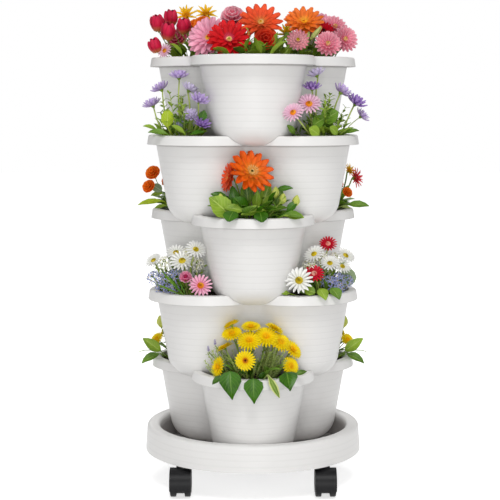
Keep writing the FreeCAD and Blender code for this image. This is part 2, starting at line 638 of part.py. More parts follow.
# Leaves of every pocket: their directions from the lobe's own, how steeply they rise, and where in
# the foliage they grow, as a share of its radius
leaf_turns = (-64, -22, 22, 64)
leaf_droop = -6
hanging_droop = 88
leaf_start = 0.6
hanging_start = 0.3
# How deep each kind of head is as a share of its width, and how far it looks up, in degrees
head_depth = {"gerbera": 0.3, "carnation": 0.5, "daisy": 0.3, "aster": 0.35, "marigold": 0.55, "bud": 1.1}
head_tilt = {"gerbera": 28, "carnation": 40, "daisy": 40, "aster": 45, "marigold": 50, "bud": 75}


def pointing(direction):
    """The turn that takes +Z to a direction."""
    return FreeCAD.Rotation(Vector(0, 0, 1), direction)


def stalk(name, start, end):
    shape = primitive("Cylinder", name, Radius="Sizes.stalk")
    shape.Height = (end - start).Length
    shape.Placement = FreeCAD.Placement(start, pointing(end - start))
    return shape


# A leaf: a blade between two arcs, its stalk end at the origin and its length along X
leaf_body = doc.addObject("PartDesign::Body", "leaf_body")
leaf_sketch = sketch_on(leaf_body, "XY_Plane", "leaf_plan", "-Sizes.leaf_thick / 2")
tip = Vector(sizes.leaf_length, 0, 0)
for side in (1, -1):
    belly = Vector(sizes.leaf_length / 2, side * sizes.leaf_width / 2, 0)
    leaf_sketch.addGeometry(Part.Arc(*((tip, belly, Vector()) if side > 0 else (Vector(), belly, tip))))
leaf_sketch.addConstraint(Sketcher.Constraint("Coincident", 0, 2, 1, 1))
leaf_sketch.addConstraint(Sketcher.Constraint("Coincident", 1, 2, 0, 1))
leaf_sketch.addConstraint(Sketcher.Constraint("Coincident", 1, 1, -1, 1))
leaf_sketch.addConstraint(Sketcher.Constraint("PointOnObject", 1, 2, -1))
constrain(leaf_sketch, "Sizes.leaf_length", "DistanceX", 1, 2, sizes.leaf_length)
leaf_sketch.addConstraint(Sketcher.Constraint("Equal", 0, 1))
bulge = sizes.leaf_width / 4 + sizes.leaf_length ** 2 / (4 * sizes.leaf_width)
constrain(leaf_sketch, "Sizes.leaf_width / 4 + Sizes.leaf_length ^ 2 / (4 * Sizes.leaf_width)",
          "Radius", 0, bulge)
leaf_pad = leaf_body.newObject("PartDesign::Pad", "leaf_blade")
leaf_pad.Profile = leaf_sketch
leaf_pad.setExpression("Length", "Sizes.leaf_thick")


def leaf(name, start, azimuth, droop):
    """A leaf from its stalk end, along an azimuth, turned down by a droop in degrees."""
    shape = copy_of(name, leaf_body)
    heading = FreeCAD.Rotation(Vector(0, 0, 1), math.degrees(azimuth))
    turn = heading * FreeCAD.Rotation(Vector(0, 1, 0), droop)
    shape.Placement = FreeCAD.Placement(start, turn)
    return shape


def mound(name, centre, angle, radius, height):
    """Foliage as a cap of a ball that stands on the potting mix; returns the ball's middle too."""
    ball = (radius ** 2 + height ** 2) / (2 * height)
    ball_centre = centre + Vector(0, 0, height - ball)
    shape = doc.addObject("Part::Sphere", name)
    shape.Radius = ball
    shape.Angle1 = math.degrees(math.asin((ball - height) / ball))
    shape.Placement = FreeCAD.Placement(ball_centre, FreeCAD.Rotation(Vector(0, 0, 1), angle))
    return shape, ball_centre, ball


def flower(name, kind, ball_centre, ball, head, azimuth):
    """A head that opens along its own direction as a shallow cone, and its stalk out of the foliage."""
    tilt = math.radians(head_tilt[kind])
    facing = Vector(math.cos(azimuth) * math.cos(tilt), math.sin(azimuth) * math.cos(tilt), math.sin(tilt))
    depth = head_depth[kind] * sizes.get(kind + "_width")
    back = head - facing * depth
    cup = primitive("Cone", name + "_head", Radius1="Sizes.head_foot", Radius2=f"Sizes.{kind}_width / 2")
    cup.Height = depth
    cup.Placement = FreeCAD.Placement(back, pointing(facing))
    out = back - ball_centre
    if out.Length < ball - sizes.stalk_seat:
        return [cup]
    start = ball_centre + out * ((ball - sizes.stalk_root) / out.Length)
    return [stalk(name + "_stalk", start, back + facing * sizes.stalk_seat), cup]


for name, (tier, angle, heads) in beds.items():
    top = tier == TIERS[0]
    outwards = polar(1, angle)
    soil = Vector(0, 0, sizes.foliage_gap - sizes.mix_below_rim)
    middle = soil + outwards * (0 if top else sizes.foliage_out)
    spread = sizes.top_foliage if top else sizes.foliage_radius
    height = sizes.top_foliage_height if top else sizes.foliage_height
    foliage, ball_centre, ball = mound(name + "_foliage", middle, angle, spread, height)
    members = [foliage]
    lobe_middle = outwards * sizes.lobe_ring
    viewer_side = angle in (-90, 210, 330)
    for number, (kind, right, back, up) in enumerate(heads, start=1):
        head = Vector(right, back, up)
        place = lobe_middle + head
        azimuth = math.atan2(place.y, place.x)
        if viewer_side:
            # Heads on the viewer's side look half way between outwards and straight to the front
            azimuth = -math.pi / 2 + 0.5 * ((azimuth + 1.5 * math.pi) % (2 * math.pi) - math.pi)
        members += flower(f"{name}_{number}", kind, ball_centre, ball, head, azimuth)
    for number, turn in enumerate(leaf_turns, start=1):
        azimuth = math.radians(angle + turn)
        heading = Vector(math.cos(azimuth), math.sin(azimuth), 0)
        start = middle - soil + heading * (spread * leaf_start) + Vector(0, 0, sizes.leaf_rise)
        members.append(leaf(f"{name}_leaf_{number}", start, azimuth, leaf_droop))
    for number, (right, back, up) in enumerate(hanging_leaves.get(name, []), start=1):
        hook = Vector(right, back, up)
        azimuth = math.atan2(back, right)
        start = middle + (hook - middle) * hanging_start
        leaf_root = hook - Vector(0, 0, sizes.hanging_lift)
        members.append(leaf(f"{name}_hanging_{number}", leaf_root, azimuth, hanging_droop))
        stalk_end = hook - Vector(0, 0, sizes.hanging_seat)
        members.append(stalk(f"{name}_hanging_{number}_stalk", start, stalk_end))
    bed = fuse(name, members)
    bind(bed, {
        "Placement.Base.x": f"Sizes.lobe_ring * cos({angle} deg)",
        "Placement.Base.y": f"Sizes.lobe_ring * sin({angle} deg)",
        "Placement.Base.z": f"Sizes.base_level + {TIERS[-1] - tier} * Sizes.tier_pitch + Sizes.tier_height",
    })
    pieces.append(bed)

# Check every object and write each piece
doc.recompute()
for thing in doc.Objects:
    if "Invalid" in thing.State or "Error" in thing.State:
        raise RuntimeError(f"{thing.Name} failed: {thing.State}")
os.makedirs("parts", exist_ok=True)
for piece in pieces:
    shape = Part.getShape(piece)
    if shape.isNull() or not shape.isValid():
        raise RuntimeError(f"{piece.Label} has no valid shape")
    shape.exportStep(f"parts/{piece.Label}.step")
    print(piece.Label, len(shape.Solids), round(shape.Volume))
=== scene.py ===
import json
import math
import random

import bpy
from mathutils import Matrix, Vector

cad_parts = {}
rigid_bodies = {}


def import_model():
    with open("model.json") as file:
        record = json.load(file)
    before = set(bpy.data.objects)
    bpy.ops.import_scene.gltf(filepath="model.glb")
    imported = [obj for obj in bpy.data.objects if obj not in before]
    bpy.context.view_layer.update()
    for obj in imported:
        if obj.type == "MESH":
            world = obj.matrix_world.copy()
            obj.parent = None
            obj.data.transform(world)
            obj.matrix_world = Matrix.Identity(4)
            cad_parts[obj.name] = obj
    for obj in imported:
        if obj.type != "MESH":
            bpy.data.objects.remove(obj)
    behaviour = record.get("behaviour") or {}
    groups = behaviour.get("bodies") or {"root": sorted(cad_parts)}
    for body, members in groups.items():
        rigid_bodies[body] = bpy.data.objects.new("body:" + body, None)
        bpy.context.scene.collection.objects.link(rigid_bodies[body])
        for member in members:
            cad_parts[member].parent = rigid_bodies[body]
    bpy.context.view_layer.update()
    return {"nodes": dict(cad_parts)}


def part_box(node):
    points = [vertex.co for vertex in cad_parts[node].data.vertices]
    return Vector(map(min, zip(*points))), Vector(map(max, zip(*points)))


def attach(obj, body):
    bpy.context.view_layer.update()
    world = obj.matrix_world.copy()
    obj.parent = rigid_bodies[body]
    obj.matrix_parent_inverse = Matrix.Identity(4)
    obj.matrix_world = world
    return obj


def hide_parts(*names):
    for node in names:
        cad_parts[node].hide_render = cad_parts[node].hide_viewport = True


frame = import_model()
nodes = frame["nodes"]
scene = bpy.context.scene


# Saucer: one thick moulding in off-white plastic, satin from the tool, with faint level tool lines
# round its skirt. It carries the whole stack and takes the four caster stems in its hollow lip.
MM = 0.001
PLASTIC = (0.80, 0.79, 0.775)
# Painted shade: the grey mixed into the plastic in the saucer's well and in a thin band under each tier's
# rim
SHADE_GREY = (0.36, 0.335, 0.325)
LINE_SPACING, LINE_WIDTH, LINE_SWAY, LINE_DEPTH = 11.7 * MM, 2.4 * MM, 2.2 * MM, 0.16 * MM


def opaque(colour):
    return (*colour, 1)


def surface(name, colour, roughness):
    """A new Principled material, with its node tree and its shader."""
    material = bpy.data.materials.new(name)
    material.use_nodes = True
    tree = material.node_tree
    shader = tree.nodes["Principled BSDF"]
    shader.inputs["Base Color"].default_value = opaque(colour)
    shader.inputs["Roughness"].default_value = roughness
    return material, tree, shader


def node(tree, kind, **settings):
    """A new node; each setting is a property, or a socket with _ for the spaces in its name."""
    made = tree.nodes.new("ShaderNode" + kind)
    for key, value in settings.items():
        if hasattr(made, key):
            setattr(made, key, value)
        else:
            made.inputs[key.replace("_", " ")].default_value = value
    return made


def fill(tree, socket, value):
    """Link a socket to another node's output, or set it to a plain value."""
    if isinstance(value, bpy.types.NodeSocket):
        tree.links.new(value, socket)
    else:
        socket.default_value = value


def maths(tree, operation, *values):
    made = node(tree, "Math", operation=operation)
    for socket, value in zip(made.inputs, values):
        fill(tree, socket, value)
    return made.outputs[0]


def ranged(tree, value, start, end, low, high, smooth=True):
    """A value taken from the range start to end into the range low to high, and held at its ends."""
    made = node(tree, "MapRange", interpolation_type="SMOOTHSTEP" if smooth else "LINEAR")
    numbers = {"From Min": start, "From Max": end, "To Min": low, "To Max": high}
    for name, number in numbers.items():
        made.inputs[name].default_value = number
    tree.links.new(value, made.inputs["Value"])
    return made.outputs["Result"]


def mixed(tree, share, first, second):
    """Two colours mixed by a share."""
    made = node(tree, "Mix", data_type="RGBA")
    for number, value in ((0, share), (6, first), (7, second)):
        fill(tree, made.inputs[number], value)
    return made.outputs[2]


def placed_coordinates(tree, shift=(0, 0, 0), scale=(1, 1, 1)):
    """Object coordinates, moved and stretched by a Mapping node."""
    mapping = node(tree, "Mapping", Location=shift, Scale=scale)
    tree.links.new(node(tree, "TexCoord").outputs["Object"], mapping.inputs["Vector"])
    return mapping.outputs["Vector"]


def noise(tree, place, scale, detail, **settings):
    made = node(tree, "TexNoise", Scale=scale, Detail=detail, **settings)
    tree.links.new(place, made.inputs["Vector"])
    return made.outputs["Fac"]


def split(tree, vector):
    """The X, Y and Z of a vector, as a node's outputs."""
    made = node(tree, "SeparateXYZ")
    tree.links.new(vector, made.inputs[0])
    return made.outputs


def ramp(tree, source, stops):
    """A colour ramp through (position, colour) stops, fed by a value."""
    made = node(tree, "ValToRGB")
    elements = made.color_ramp.elements
    while len(elements) < len(stops):
        elements.new(0.5)
    for element, (position, colour) in zip(elements, stops):
        element.position = position
        element.color = opaque(colour)
    tree.links.new(source, made.inputs["Fac"])
    return made.outputs["Color"]


def bumped(tree, shader, height, distance, strength=1.0, after=None):
    """Relief on a shader, over another relief where one is given."""
    bump = node(tree, "Bump", Distance=distance, Strength=strength)
    tree.links.new(height, bump.inputs["Height"])
    if after is not None:
        tree.links.new(after, bump.inputs["Normal"])
    tree.links.new(bump.outputs["Normal"], shader.inputs["Normal"])
    return bump.outputs["Normal"]


def ribbed_plastic(name, base, first, last, shade_steps, hollow=None):
    """Off-white plastic with shallow level grooves between two heights above a base. Painted shade greys it
    by the steps of height given as shade_steps, multiplied; with a hollow it lies only inside that radius."""
    material, tree, shader = surface(name, PLASTIC, 0.38)
    place = placed_coordinates(tree, shift=(0, 0, -base))
    skin = bumped(tree, shader, noise(tree, place, 900.0, 2.0), 0.02 * MM, 0.35)
    parts = split(tree, place)
    height = parts["Z"]
    swaying = maths(tree, "MULTIPLY_ADD", noise(tree, place, 6.0, 1.0), LINE_SWAY, height)
    beat = maths(tree, "PINGPONG", swaying, LINE_SPACING / 2)
    groove = maths(tree, "SUBTRACT", 1.0, ranged(tree, beat, 0.0, LINE_WIDTH, 0.0, 1.0))
    above, under = maths(tree, "GREATER_THAN", height, first), maths(tree, "LESS_THAN", height, last)
    depth = maths(tree, "MULTIPLY", groove, maths(tree, "MULTIPLY", above, under))
    bumped(tree, shader, maths(tree, "MULTIPLY", depth, -1.0), LINE_DEPTH, 0.8, after=skin)
    # Painted shade: the grooves are a little darker than the wall between them
    shaded = opaque(part * 0.9 for part in PLASTIC)
    tone = mixed(tree, maths(tree, "MULTIPLY", depth, 0.28), opaque(PLASTIC), shaded)
    # Painted shade: the share of grey, from the steps of height and, where given, the hollow's radius
    shade_share = 1.0
    for step in shade_steps:
        shade_share = maths(tree, "MULTIPLY", shade_share, ranged(tree, height, *step))
    if hollow:
        flat = node(tree, "CombineXYZ")
        for axis in "XY":
            tree.links.new(parts[axis], flat.inputs[axis])
        reach = node(tree, "VectorMath", operation="LENGTH")
        tree.links.new(flat.outputs[0], reach.inputs[0])
        shade_share = maths(tree, "MULTIPLY", shade_share, maths(tree, "LESS_THAN", reach.outputs["Value"], hollow))
    tree.links.new(mixed(tree, shade_share, tone, opaque(SHADE_GREY)), shader.inputs["Base Color"])
    return material


def dress(name, material):
    """Give a node of the frame its material."""
    mesh = nodes[name].data
    mesh.materials.clear()
    mesh.materials.append(material)


# Painted shade in the well inside the lip: it greys the floor there and thins out up the inner side
SAUCER_SHADE_STEPS = ((2 * MM, 4 * MM, 0.0, 1.0), (30 * MM, 47 * MM, 0.85, 0.0))
saucer_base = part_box("saucer")[0].z
dress("saucer", ribbed_plastic("saucer_plastic", saucer_base, 6 * MM, 40 * MM, SAUCER_SHADE_STEPS,
                               hollow=182 * MM))


# Casters: black moulded housings and twin wheels, a zinc-plated stem, grip ring and axle in each.
# They are bought in as standard 50 mm casters and pushed into the saucer's sockets.
def sheen(tree, shader, value, smooth, rough):
    """Roughness that follows a noise, between two values."""
    shine = ramp(tree, value, [(0.3, (smooth,) * 3), (0.7, (rough,) * 3)])
    tree.links.new(shine, shader.inputs["Roughness"])


def black_plastic():
    material, tree, shader = surface("caster_black", (0.007, 0.007, 0.008), 0.42)
    grain = noise(tree, placed_coordinates(tree), 1400.0, 2.0)
    bumped(tree, shader, grain, 0.03 * MM, 0.5)
    shader.inputs["Specular IOR Level"].default_value = 0.22
    sheen(tree, shader, grain, 0.36, 0.48)
    return material


def plated_steel():
    material, tree, shader = surface("zinc_plated", (0.62, 0.62, 0.64), 0.3)
    shader.inputs["Metallic"].default_value = 1.0
    streaks = noise(tree, placed_coordinates(tree, scale=(1, 1, 0.1)), 500.0, 3.0)
    sheen(tree, shader, streaks, 0.22, 0.4)
    return material


black, zinc = black_plastic(), plated_steel()
for name in nodes:
    if name.startswith(("caster_housing", "caster_wheel")):
        dress(name, black)
    elif name.startswith(("caster_stem", "caster_axle", "caster_grip")):
        dress(name, zinc)


# Tiers: five three-lobed pots of the same off-white plastic. Each wall has shallow level grooves
# down to the turn of its base, and a plain rim and foot. A thin band of painted shadow greys the
# wall just under the hollow lip.
TIER_SHADE_STEPS = ((144 * MM, 148 * MM, 0.0, 0.8), (148.4 * MM, 148.8 * MM, 1, 0))
for tier in range(1, 6):
    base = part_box(f"tier_{tier}")[0].z
    pot_plastic = ribbed_plastic(f"tier_{tier}_plastic", base, 33 * MM, 128 * MM, TIER_SHADE_STEPS)
    dress(f"tier_{tier}", pot_plastic)
    dress(f"flow_grids_tier_{tier}", pot_plastic)


# Potting mix: dark crumbly peat, level in each pot a little under the rim, with loose crumbs on top.
# The node's own solid carries it; a patch of crumbs is modelled once and strewn on every bed.
FRONT, SIDES = ("front", "back_left", "back_right"), ("left", "right", "back")
BEDS = [(tier, side) for tier in range(1, 6) for side in (FRONT if tier % 2 else SIDES)]
LOBE_TURN = {"front": -90, "back_right": 30, "back_left": 150, "back": 90, "left": 210, "right": 330}
LOBE_RING = 97.3 * MM
CRUMBS, CRUMB_SIZE, CRUMB_REACH = 130, 2.6 * MM, 92 * MM
CRUMB_LIFT, CRUMB_GAP = 0.6 * MM, 5 * MM


def clear():
    bpy.ops.object.select_all(action="DESELECT")


def finish_mesh(piece, material):
    piece.data.materials.clear()
    piece.data.materials.append(material)
    return piece


def applied(piece, kind, **settings):
    """Put a modifier on a piece and apply it."""
    clear()
    piece.select_set(True)
    bpy.context.view_layer.objects.active = piece
    modifier = piece.modifiers.new(kind.lower(), kind)
    for key, value in settings.items():
        setattr(modifier, key, value)
    bpy.ops.object.modifier_apply(modifier=modifier.name)
    return piece


def twin(piece, matrix):
    """A copy with its own mesh, placed by a matrix."""
    copy = piece.copy()
    copy.data = piece.data.copy()
    copy.data.transform(matrix)
    scene.collection.objects.link(copy)
    return copy


def joined(name, pieces):
    clear()
    for piece in pieces:
        piece.select_set(True)
    bpy.context.view_layer.objects.active = pieces[0]
    bpy.ops.object.join()
    whole = bpy.context.object
    whole.name = whole.data.name = name
    return whole


def peat(name, dark, light):
    material, tree, shader = surface(name, dark, 0.92)
    lumps = noise(tree, placed_coordinates(tree), 160.0, 6.0, Roughness=0.7)
    colour = ramp(tree, lumps, [(0.35, dark), (0.55, light), (0.75, dark)])
    tree.links.new(colour, shader.inputs["Base Color"])
    bumped(tree, shader, lumps, 2.5 * MM, 0.9)
    return material


peat_mix = peat("potting_mix", (0.018, 0.011, 0.007), (0.06, 0.036, 0.02))
crumb_mix = peat("peat_crumbs", (0.022, 0.013, 0.008), (0.085, 0.05, 0.028))
dice = random.Random(5)
clear()
bpy.ops.mesh.primitive_ico_sphere_add(subdivisions=1, radius=CRUMB_SIZE)
crumb = finish_mesh(bpy.context.object, crumb_mix)
bpy.ops.object.mode_set(mode="EDIT")
bpy.ops.transform.vertex_random(offset=1.1 * MM, seed=3)
bpy.ops.transform.resize(value=(1.2, 0.9, 0.7), center_override=(0, 0, 0))
bpy.ops.object.mode_set(mode="OBJECT")


def pot_above(tier):
    """The pot that stands on a tier, or None."""
    return nodes.get(f"tier_{tier - 1}")


def clear_of(pot, point, gap):
    """True where a point is outside a pot's wall by a gap."""
    if pot is None:
        return True
    found, nearest, normal, face = pot.closest_point_on_mesh(point)
    away = point - nearest
    return away.length > gap and away.dot(normal) > 0


def level_way(turn):
    """The level direction at a turn in radians from +X."""
    return Vector((math.cos(turn), math.sin(turn), 0))


def lobe_middle(side, z):
    turn = math.radians(LOBE_TURN[side])
    return Vector((LOBE_RING * math.cos(turn), LOBE_RING * math.sin(turn), z))


for tier in range(1, 6):
    dress(f"potting_mix_tier_{tier}", peat_mix)
for tier, side in BEDS:
    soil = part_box(f"potting_mix_tier_{tier}")[1].z
    strewn = []
    while len(strewn) < CRUMBS:
        turn, reach = dice.uniform(0, 2 * math.pi), CRUMB_REACH * math.sqrt(dice.random())
        place = lobe_middle(side, soil + CRUMB_LIFT) + level_way(turn) * reach
        size = dice.uniform(0.4, 1.3)
        if clear_of(pot_above(tier), place, CRUMB_GAP):
            tumble = Matrix.Rotation(dice.uniform(0, 6), 4, Vector((dice.random(), dice.random(), 1)))
            strewn.append(twin(crumb, Matrix.Translation(place) @ tumble @ Matrix.Scale(size, 4)))
    crumbs = joined(f"peat_crumbs_tier_{tier}_{side}", strewn)
    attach(crumbs, f"tier_{tier}_unit")
bpy.data.objects.remove(crumb)


# Leaves and petals: each is one thin blade, drawn row by row from a grid. Blades of every kind are
# modelled once, lying along +X with the stalk end at the origin, and copied on to their plants.
def pigment(red, green, blue):
    """A colour named 0 to 255 as the eye sees it, in the shader's values."""
    return tuple((part / 255) ** 2.2 for part in (red, green, blue))


def choose(piece, numbers):
    """In edit mode, select the points with these numbers and nothing else."""
    bpy.ops.mesh.select_all(action="DESELECT")
    bpy.ops.object.mode_set(mode="OBJECT")
    for number in numbers:
        piece.data.vertices[number].select = True
    bpy.ops.object.mode_set(mode="EDIT")


def blade(name, rows, cup, thickness):
    """A blade from rows of (how far along, width, height) in mm and the drop of each lengthwise line."""
    clear()
    bpy.ops.mesh.primitive_grid_add(x_subdivisions=len(rows) - 1, y_subdivisions=len(cup) - 1, size=1)
    piece = bpy.context.object
    piece.name = piece.data.name = name
    along_x, along_y = ([round(point.co[axis], 3) for point in piece.data.vertices] for axis in (0, 1))
    steps_x, steps_y = sorted(set(along_x)), sorted(set(along_y))
    bpy.ops.object.mode_set(mode="EDIT")
    bpy.ops.mesh.select_mode(type="VERT")
    for number, (along, width, height) in enumerate(rows):
        start = steps_x[number]
        choose(piece, [point for point, place in enumerate(along_x) if place == start])
        bpy.ops.transform.resize(value=(1, width * MM, 1), center_override=(0, 0, 0))
        bpy.ops.transform.translate(value=(along * MM - start, 0, height * MM))
    for number, drop in enumerate(cup):
        inner = [point for point, place in enumerate(along_y) if place == steps_y[number]
                 and along_x[point] not in (steps_x[0], steps_x[-1])]
        choose(piece, inner)
        bpy.ops.transform.translate(value=(0, 0, -drop * MM))
    bpy.ops.object.mode_set(mode="OBJECT")
    applied(piece, "SOLIDIFY", thickness=thickness * MM, offset=0)
    bpy.ops.object.shade_smooth_by_angle(angle=math.radians(55))
    return piece


def petal_finish(name, base, middle, tip, streak=0.12, roughness=0.5):
    """A petal's colours from its base to its tip, with fine streaks along it and painted shade along its
    side edges.
    """
    material, tree, shader = surface(name, pigment(*middle), roughness)
    laid_out = node(tree, "TexCoord").outputs["UV"]
    parts = split(tree, laid_out)
    colour = ramp(tree, parts["X"], [(0.0, pigment(*base)), (0.42, pigment(*middle)), (1.0, pigment(*tip))])
    stretch = node(tree, "Mapping", Scale=(2.0, 14.0, 1.0))
    tree.links.new(laid_out, stretch.inputs["Vector"])
    fibres = noise(tree, stretch.outputs["Vector"], 1.0, 2.0)
    patches = noise(tree, placed_coordinates(tree), 45.0, 1.0)
    both = maths(tree, "ADD", fibres, patches)
    shade = ranged(tree, both, 0.7, 1.3, 1 - 2 * streak, 1 + streak, smooth=False)
    # Painted shade: each petal darkens to 0.8 towards its side edges, where the petals beside it would
    # shade it
    aside = maths(tree, "ABSOLUTE", maths(tree, "SUBTRACT", parts["Y"], 0.5))
    shaded = maths(tree, "MULTIPLY", shade, ranged(tree, aside, 0.28, 0.5, 1.0, 0.8))
    tinted = node(tree, "VectorMath", operation="SCALE")
    tree.links.new(colour, tinted.inputs[0])
    tree.links.new(shaded, tinted.inputs["Scale"])
    tree.links.new(tinted.outputs["Vector"], shader.inputs["Base Color"])
    shader.inputs["Specular IOR Level"].default_value = 0.2
    bumped(tree, shader, fibres, 0.15 * MM, 0.5)
    return material


def leaf_finish(name, green, rib, shadow, roughness=0.42, edge=None):
    """A leaf's green with a paler midrib and side veins, darker in patches, perhaps pale at its edge."""
    material, tree, shader = surface(name, pigment(*green), roughness)
    parts = split(tree, node(tree, "TexCoord").outputs["UV"])
    aside = maths(tree, "ABSOLUTE", maths(tree, "SUBTRACT", parts["Y"], 0.5))
    patches = noise(tree, placed_coordinates(tree), 38.0, 3.0)
    light = tuple(min(1, 1.25 * part) for part in pigment(*green))
    colour = ramp(tree, patches, [(0.3, pigment(*shadow)), (0.52, pigment(*green)), (0.75, light)])
    slant = maths(tree, "MULTIPLY_ADD", aside, 0.55, maths(tree, "MULTIPLY", parts["X"], -1.0))
    comb = maths(tree, "PINGPONG", slant, 0.055)
    veins = ranged(tree, comb, 0.0, 0.018, 0.45, 0.0)
    pale = maths(tree, "MAXIMUM", veins, ranged(tree, aside, 0.012, 0.045, 1.0, 0.0))
    result = mixed(tree, pale, colour, opaque(pigment(*rib)))
    if edge:
        margin = ranged(tree, aside, 0.28, 0.36, 0.0, 1.0)
        result = mixed(tree, margin, result, opaque(pigment(*edge)))
    tree.links.new(result, shader.inputs["Base Color"])
    shader.inputs["Specular IOR Level"].default_value = 0.28
    bumped(tree, shader, pale, 0.3 * MM, 0.6)
    return material


PETALS = {
    "broad": blade("petal_broad", [(0, 3.4, 0), (7, 6.8, -0.6), (15, 10.4, -0.3), (22, 11.6, 0.8),
                                   (28, 9.6, 1.9), (32, 5.8, 2.5), (34, 1.6, 2.8)], (-1.3, 1.2, -1.3), 0.5),
    "spoon": blade("petal_spoon", [(0, 2.0, 0), (4, 3.8, -0.5), (9, 5.6, -0.7), (13, 5.4, 0.2),
                                   (16, 3.6, 1.4), (17.5, 1.2, 2.0)], (-0.8, 0.6, -0.8), 0.4),
    "tulip": blade("petal_tulip", [(0, 6, 0), (3, 12, -3.6), (9, 17, -6.0), (17, 17.5, -6.4),
                                   (24, 12, -4.2), (28, 5, -1.8), (30, 1.2, -0.6)],
                   (-3.8, -0.8, 1.2, -0.8, -3.8), 0.6),
    "narrow": blade("petal_narrow", [(0, 1.6, 0), (4, 3.0, 0.4), (9, 3.7, 0.4), (13, 3.1, 0),
                                     (15.5, 1.0, -0.4)], (-0.3, 0.4, -0.3), 0.35),
    "frilled": blade("petal_frilled", [(0, 3, 0), (5, 7, 1.0), (10, 11, 0.4), (14, 13, 1.8), (16, 10, 3.0)],
                     (-1.4, 1.0, -1.0, 1.2, -1.4), 0.5),
    "cupped": blade("petal_cupped", [(0, 5, 0), (4, 12, -3.0), (11, 16, -5.0), (18, 14, -3.2), (24, 9, 0.4),
                                     (28, 2.6, 3.4)], (-3.0, -0.4, 1.0, -0.4, -3.0), 0.6),
    "slim": blade("petal_slim", [(0, 3, 0), (8, 6.4, -1.8), (20, 8, -2.6), (31, 6, -0.8), (38, 3.4, 1.0),
                                 (42, 1, 2.4)], (-1.6, 0.4, -1.6), 0.5),
    "pointed": blade("petal_pointed", [(0, 2, 0), (5, 5, 0.8), (11, 4.6, 1.4), (17, 2.2, 1.0),
                                       (20, 0.5, 0)], (-0.5, 0.7, -0.5), 0.4),
}
LEAVES = {
    "broad": blade("leaf_broad", [(0, 2, 0), (4, 3, 1.6), (12, 24, 4), (24, 36, 6), (37, 34, 5),
                                  (50, 20, 1.5), (60, 3, -3)], (-3.6, -0.6, 1.8, -0.6, -3.6), 0.7),
    "oval": blade("leaf_oval", [(0, 1.6, 0), (6, 5, 1.5), (16, 14, 3), (28, 15.5, 3), (40, 9, 0.5),
                                (48, 1.4, -3)], (-1.6, -0.3, 0.9, -0.3, -1.6), 0.6),
    "long": blade("leaf_long", [(0, 2.4, 0), (18, 6, 4), (38, 8, 6), (58, 6.5, 3), (74, 3, -4),
                                (80, 0.8, -8)], (-1.4, 0.7, -1.4), 0.5),
    "heart": blade("leaf_heart", [(0, 1.8, 0), (1.5, 15, 1.0), (6, 28, 1.8), (14, 30, 2), (24, 19, 0.6),
                                  (33, 6, -1.6), (39, 0.8, -3)], (-2.6, -0.4, 1.4, -0.4, -2.6), 0.8),
    "round": blade("leaf_round", [(0, 2, 0), (3, 14, 0.8), (9, 24, 1.6), (17, 26, 1.6), (24, 17, 0.6),
                                  (28, 4, -0.5)], (-1.8, 0.9, -1.8), 0.7),
}


# Stalks: round and green, rising from the soil in a slight curve. One is modelled a unit tall and a
# unit thick, and each copy is stretched from its root to its head.
clear()
bpy.ops.mesh.primitive_circle_add(vertices=6, radius=1, fill_type="NGON")
stalk = bpy.context.object
bpy.ops.object.mode_set(mode="EDIT")
bpy.ops.mesh.select_all(action="SELECT")
for sway in (2.2, 1.4, 0.4, -1.4, -2.6):
    bpy.ops.mesh.extrude_region_move(TRANSFORM_OT_translate={"value": (sway, 0, 0.2)})
bpy.ops.mesh.select_all(action="SELECT")
bpy.ops.mesh.normals_make_consistent(inside=False)
bpy.ops.object.mode_set(mode="OBJECT")
bpy.ops.object.shade_smooth_by_angle(angle=math.radians(60))
STEM_GREEN = leaf_finish("stem_green", (116, 142, 52), (150, 170, 90), (84, 112, 36))
STEM_PALE = leaf_finish("stem_pale", (166, 182, 96), (196, 205, 130), (138, 158, 70))


def from_columns(*columns):
    """The matrix with these columns: where X, Y and Z go, and the origin's place."""
    return Matrix([[column[row] for column in columns] for row in range(3)] + [[0, 0, 0, 1]])


def stem(root, top, thickness, finish, sway_turn):
    """A stalk between two points."""
    rise = top - root
    side = level_way(sway_turn)
    side = (side - rise * (side.dot(rise) / rise.length_squared)).normalized()
    third = rise.cross(side).normalized()
    return finish_mesh(twin(stalk, from_columns(side * thickness, third * thickness, rise, root)), finish)


# Flower heads: rings of petals round a heart, facing +Z, over a small green cup. Each kind and colour
# is modelled once; its petals are placed once and spun round the stalk's line.
def whorl(petal, finish, count, length, inner, tilt, turn=0.0, lift=0.0):
    """A ring of petals: the length is a share of the blade's, the rest are mm and degrees."""
    place = (Matrix.Rotation(math.radians(turn), 4, "Z") @ Matrix.Translation((inner * MM, 0, lift * MM))
             @ Matrix.Rotation(-math.radians(tilt), 4, "Y") @ Matrix.Scale(length, 4))
    ring = finish_mesh(twin(PETALS[petal], place), finish)
    clear()
    ring.select_set(True)
    bpy.context.view_layer.objects.active = ring
    bpy.ops.object.mode_set(mode="EDIT")
    bpy.ops.mesh.select_all(action="SELECT")
    bpy.ops.mesh.spin(steps=count - 1, dupli=True, angle=2 * math.pi * (count - 1) / count,
                      center=(0, 0, 0), axis=(0, 0, 1))
    bpy.ops.object.mode_set(mode="OBJECT")
    return ring


def dome(radius, height, finish, lift=0.0, knob=0.5):
    """A flower's heart: a low dome whose faces stand out as knobs."""
    clear()
    bpy.ops.mesh.primitive_uv_sphere_add(segments=12, ring_count=8, radius=radius * MM,
                                         location=(0, 0, lift * MM))
    heart = finish_mesh(bpy.context.object, finish)
    bpy.ops.object.mode_set(mode="EDIT")
    bpy.ops.transform.resize(value=(1, 1, height / radius), center_override=(0, 0, lift * MM))
    bpy.ops.mesh.inset(thickness=0.12 * radius * MM, depth=knob * MM, use_individual=True)
    bpy.ops.object.mode_set(mode="OBJECT")
    bpy.ops.object.transform_apply(location=True, rotation=True, scale=True)
    return heart


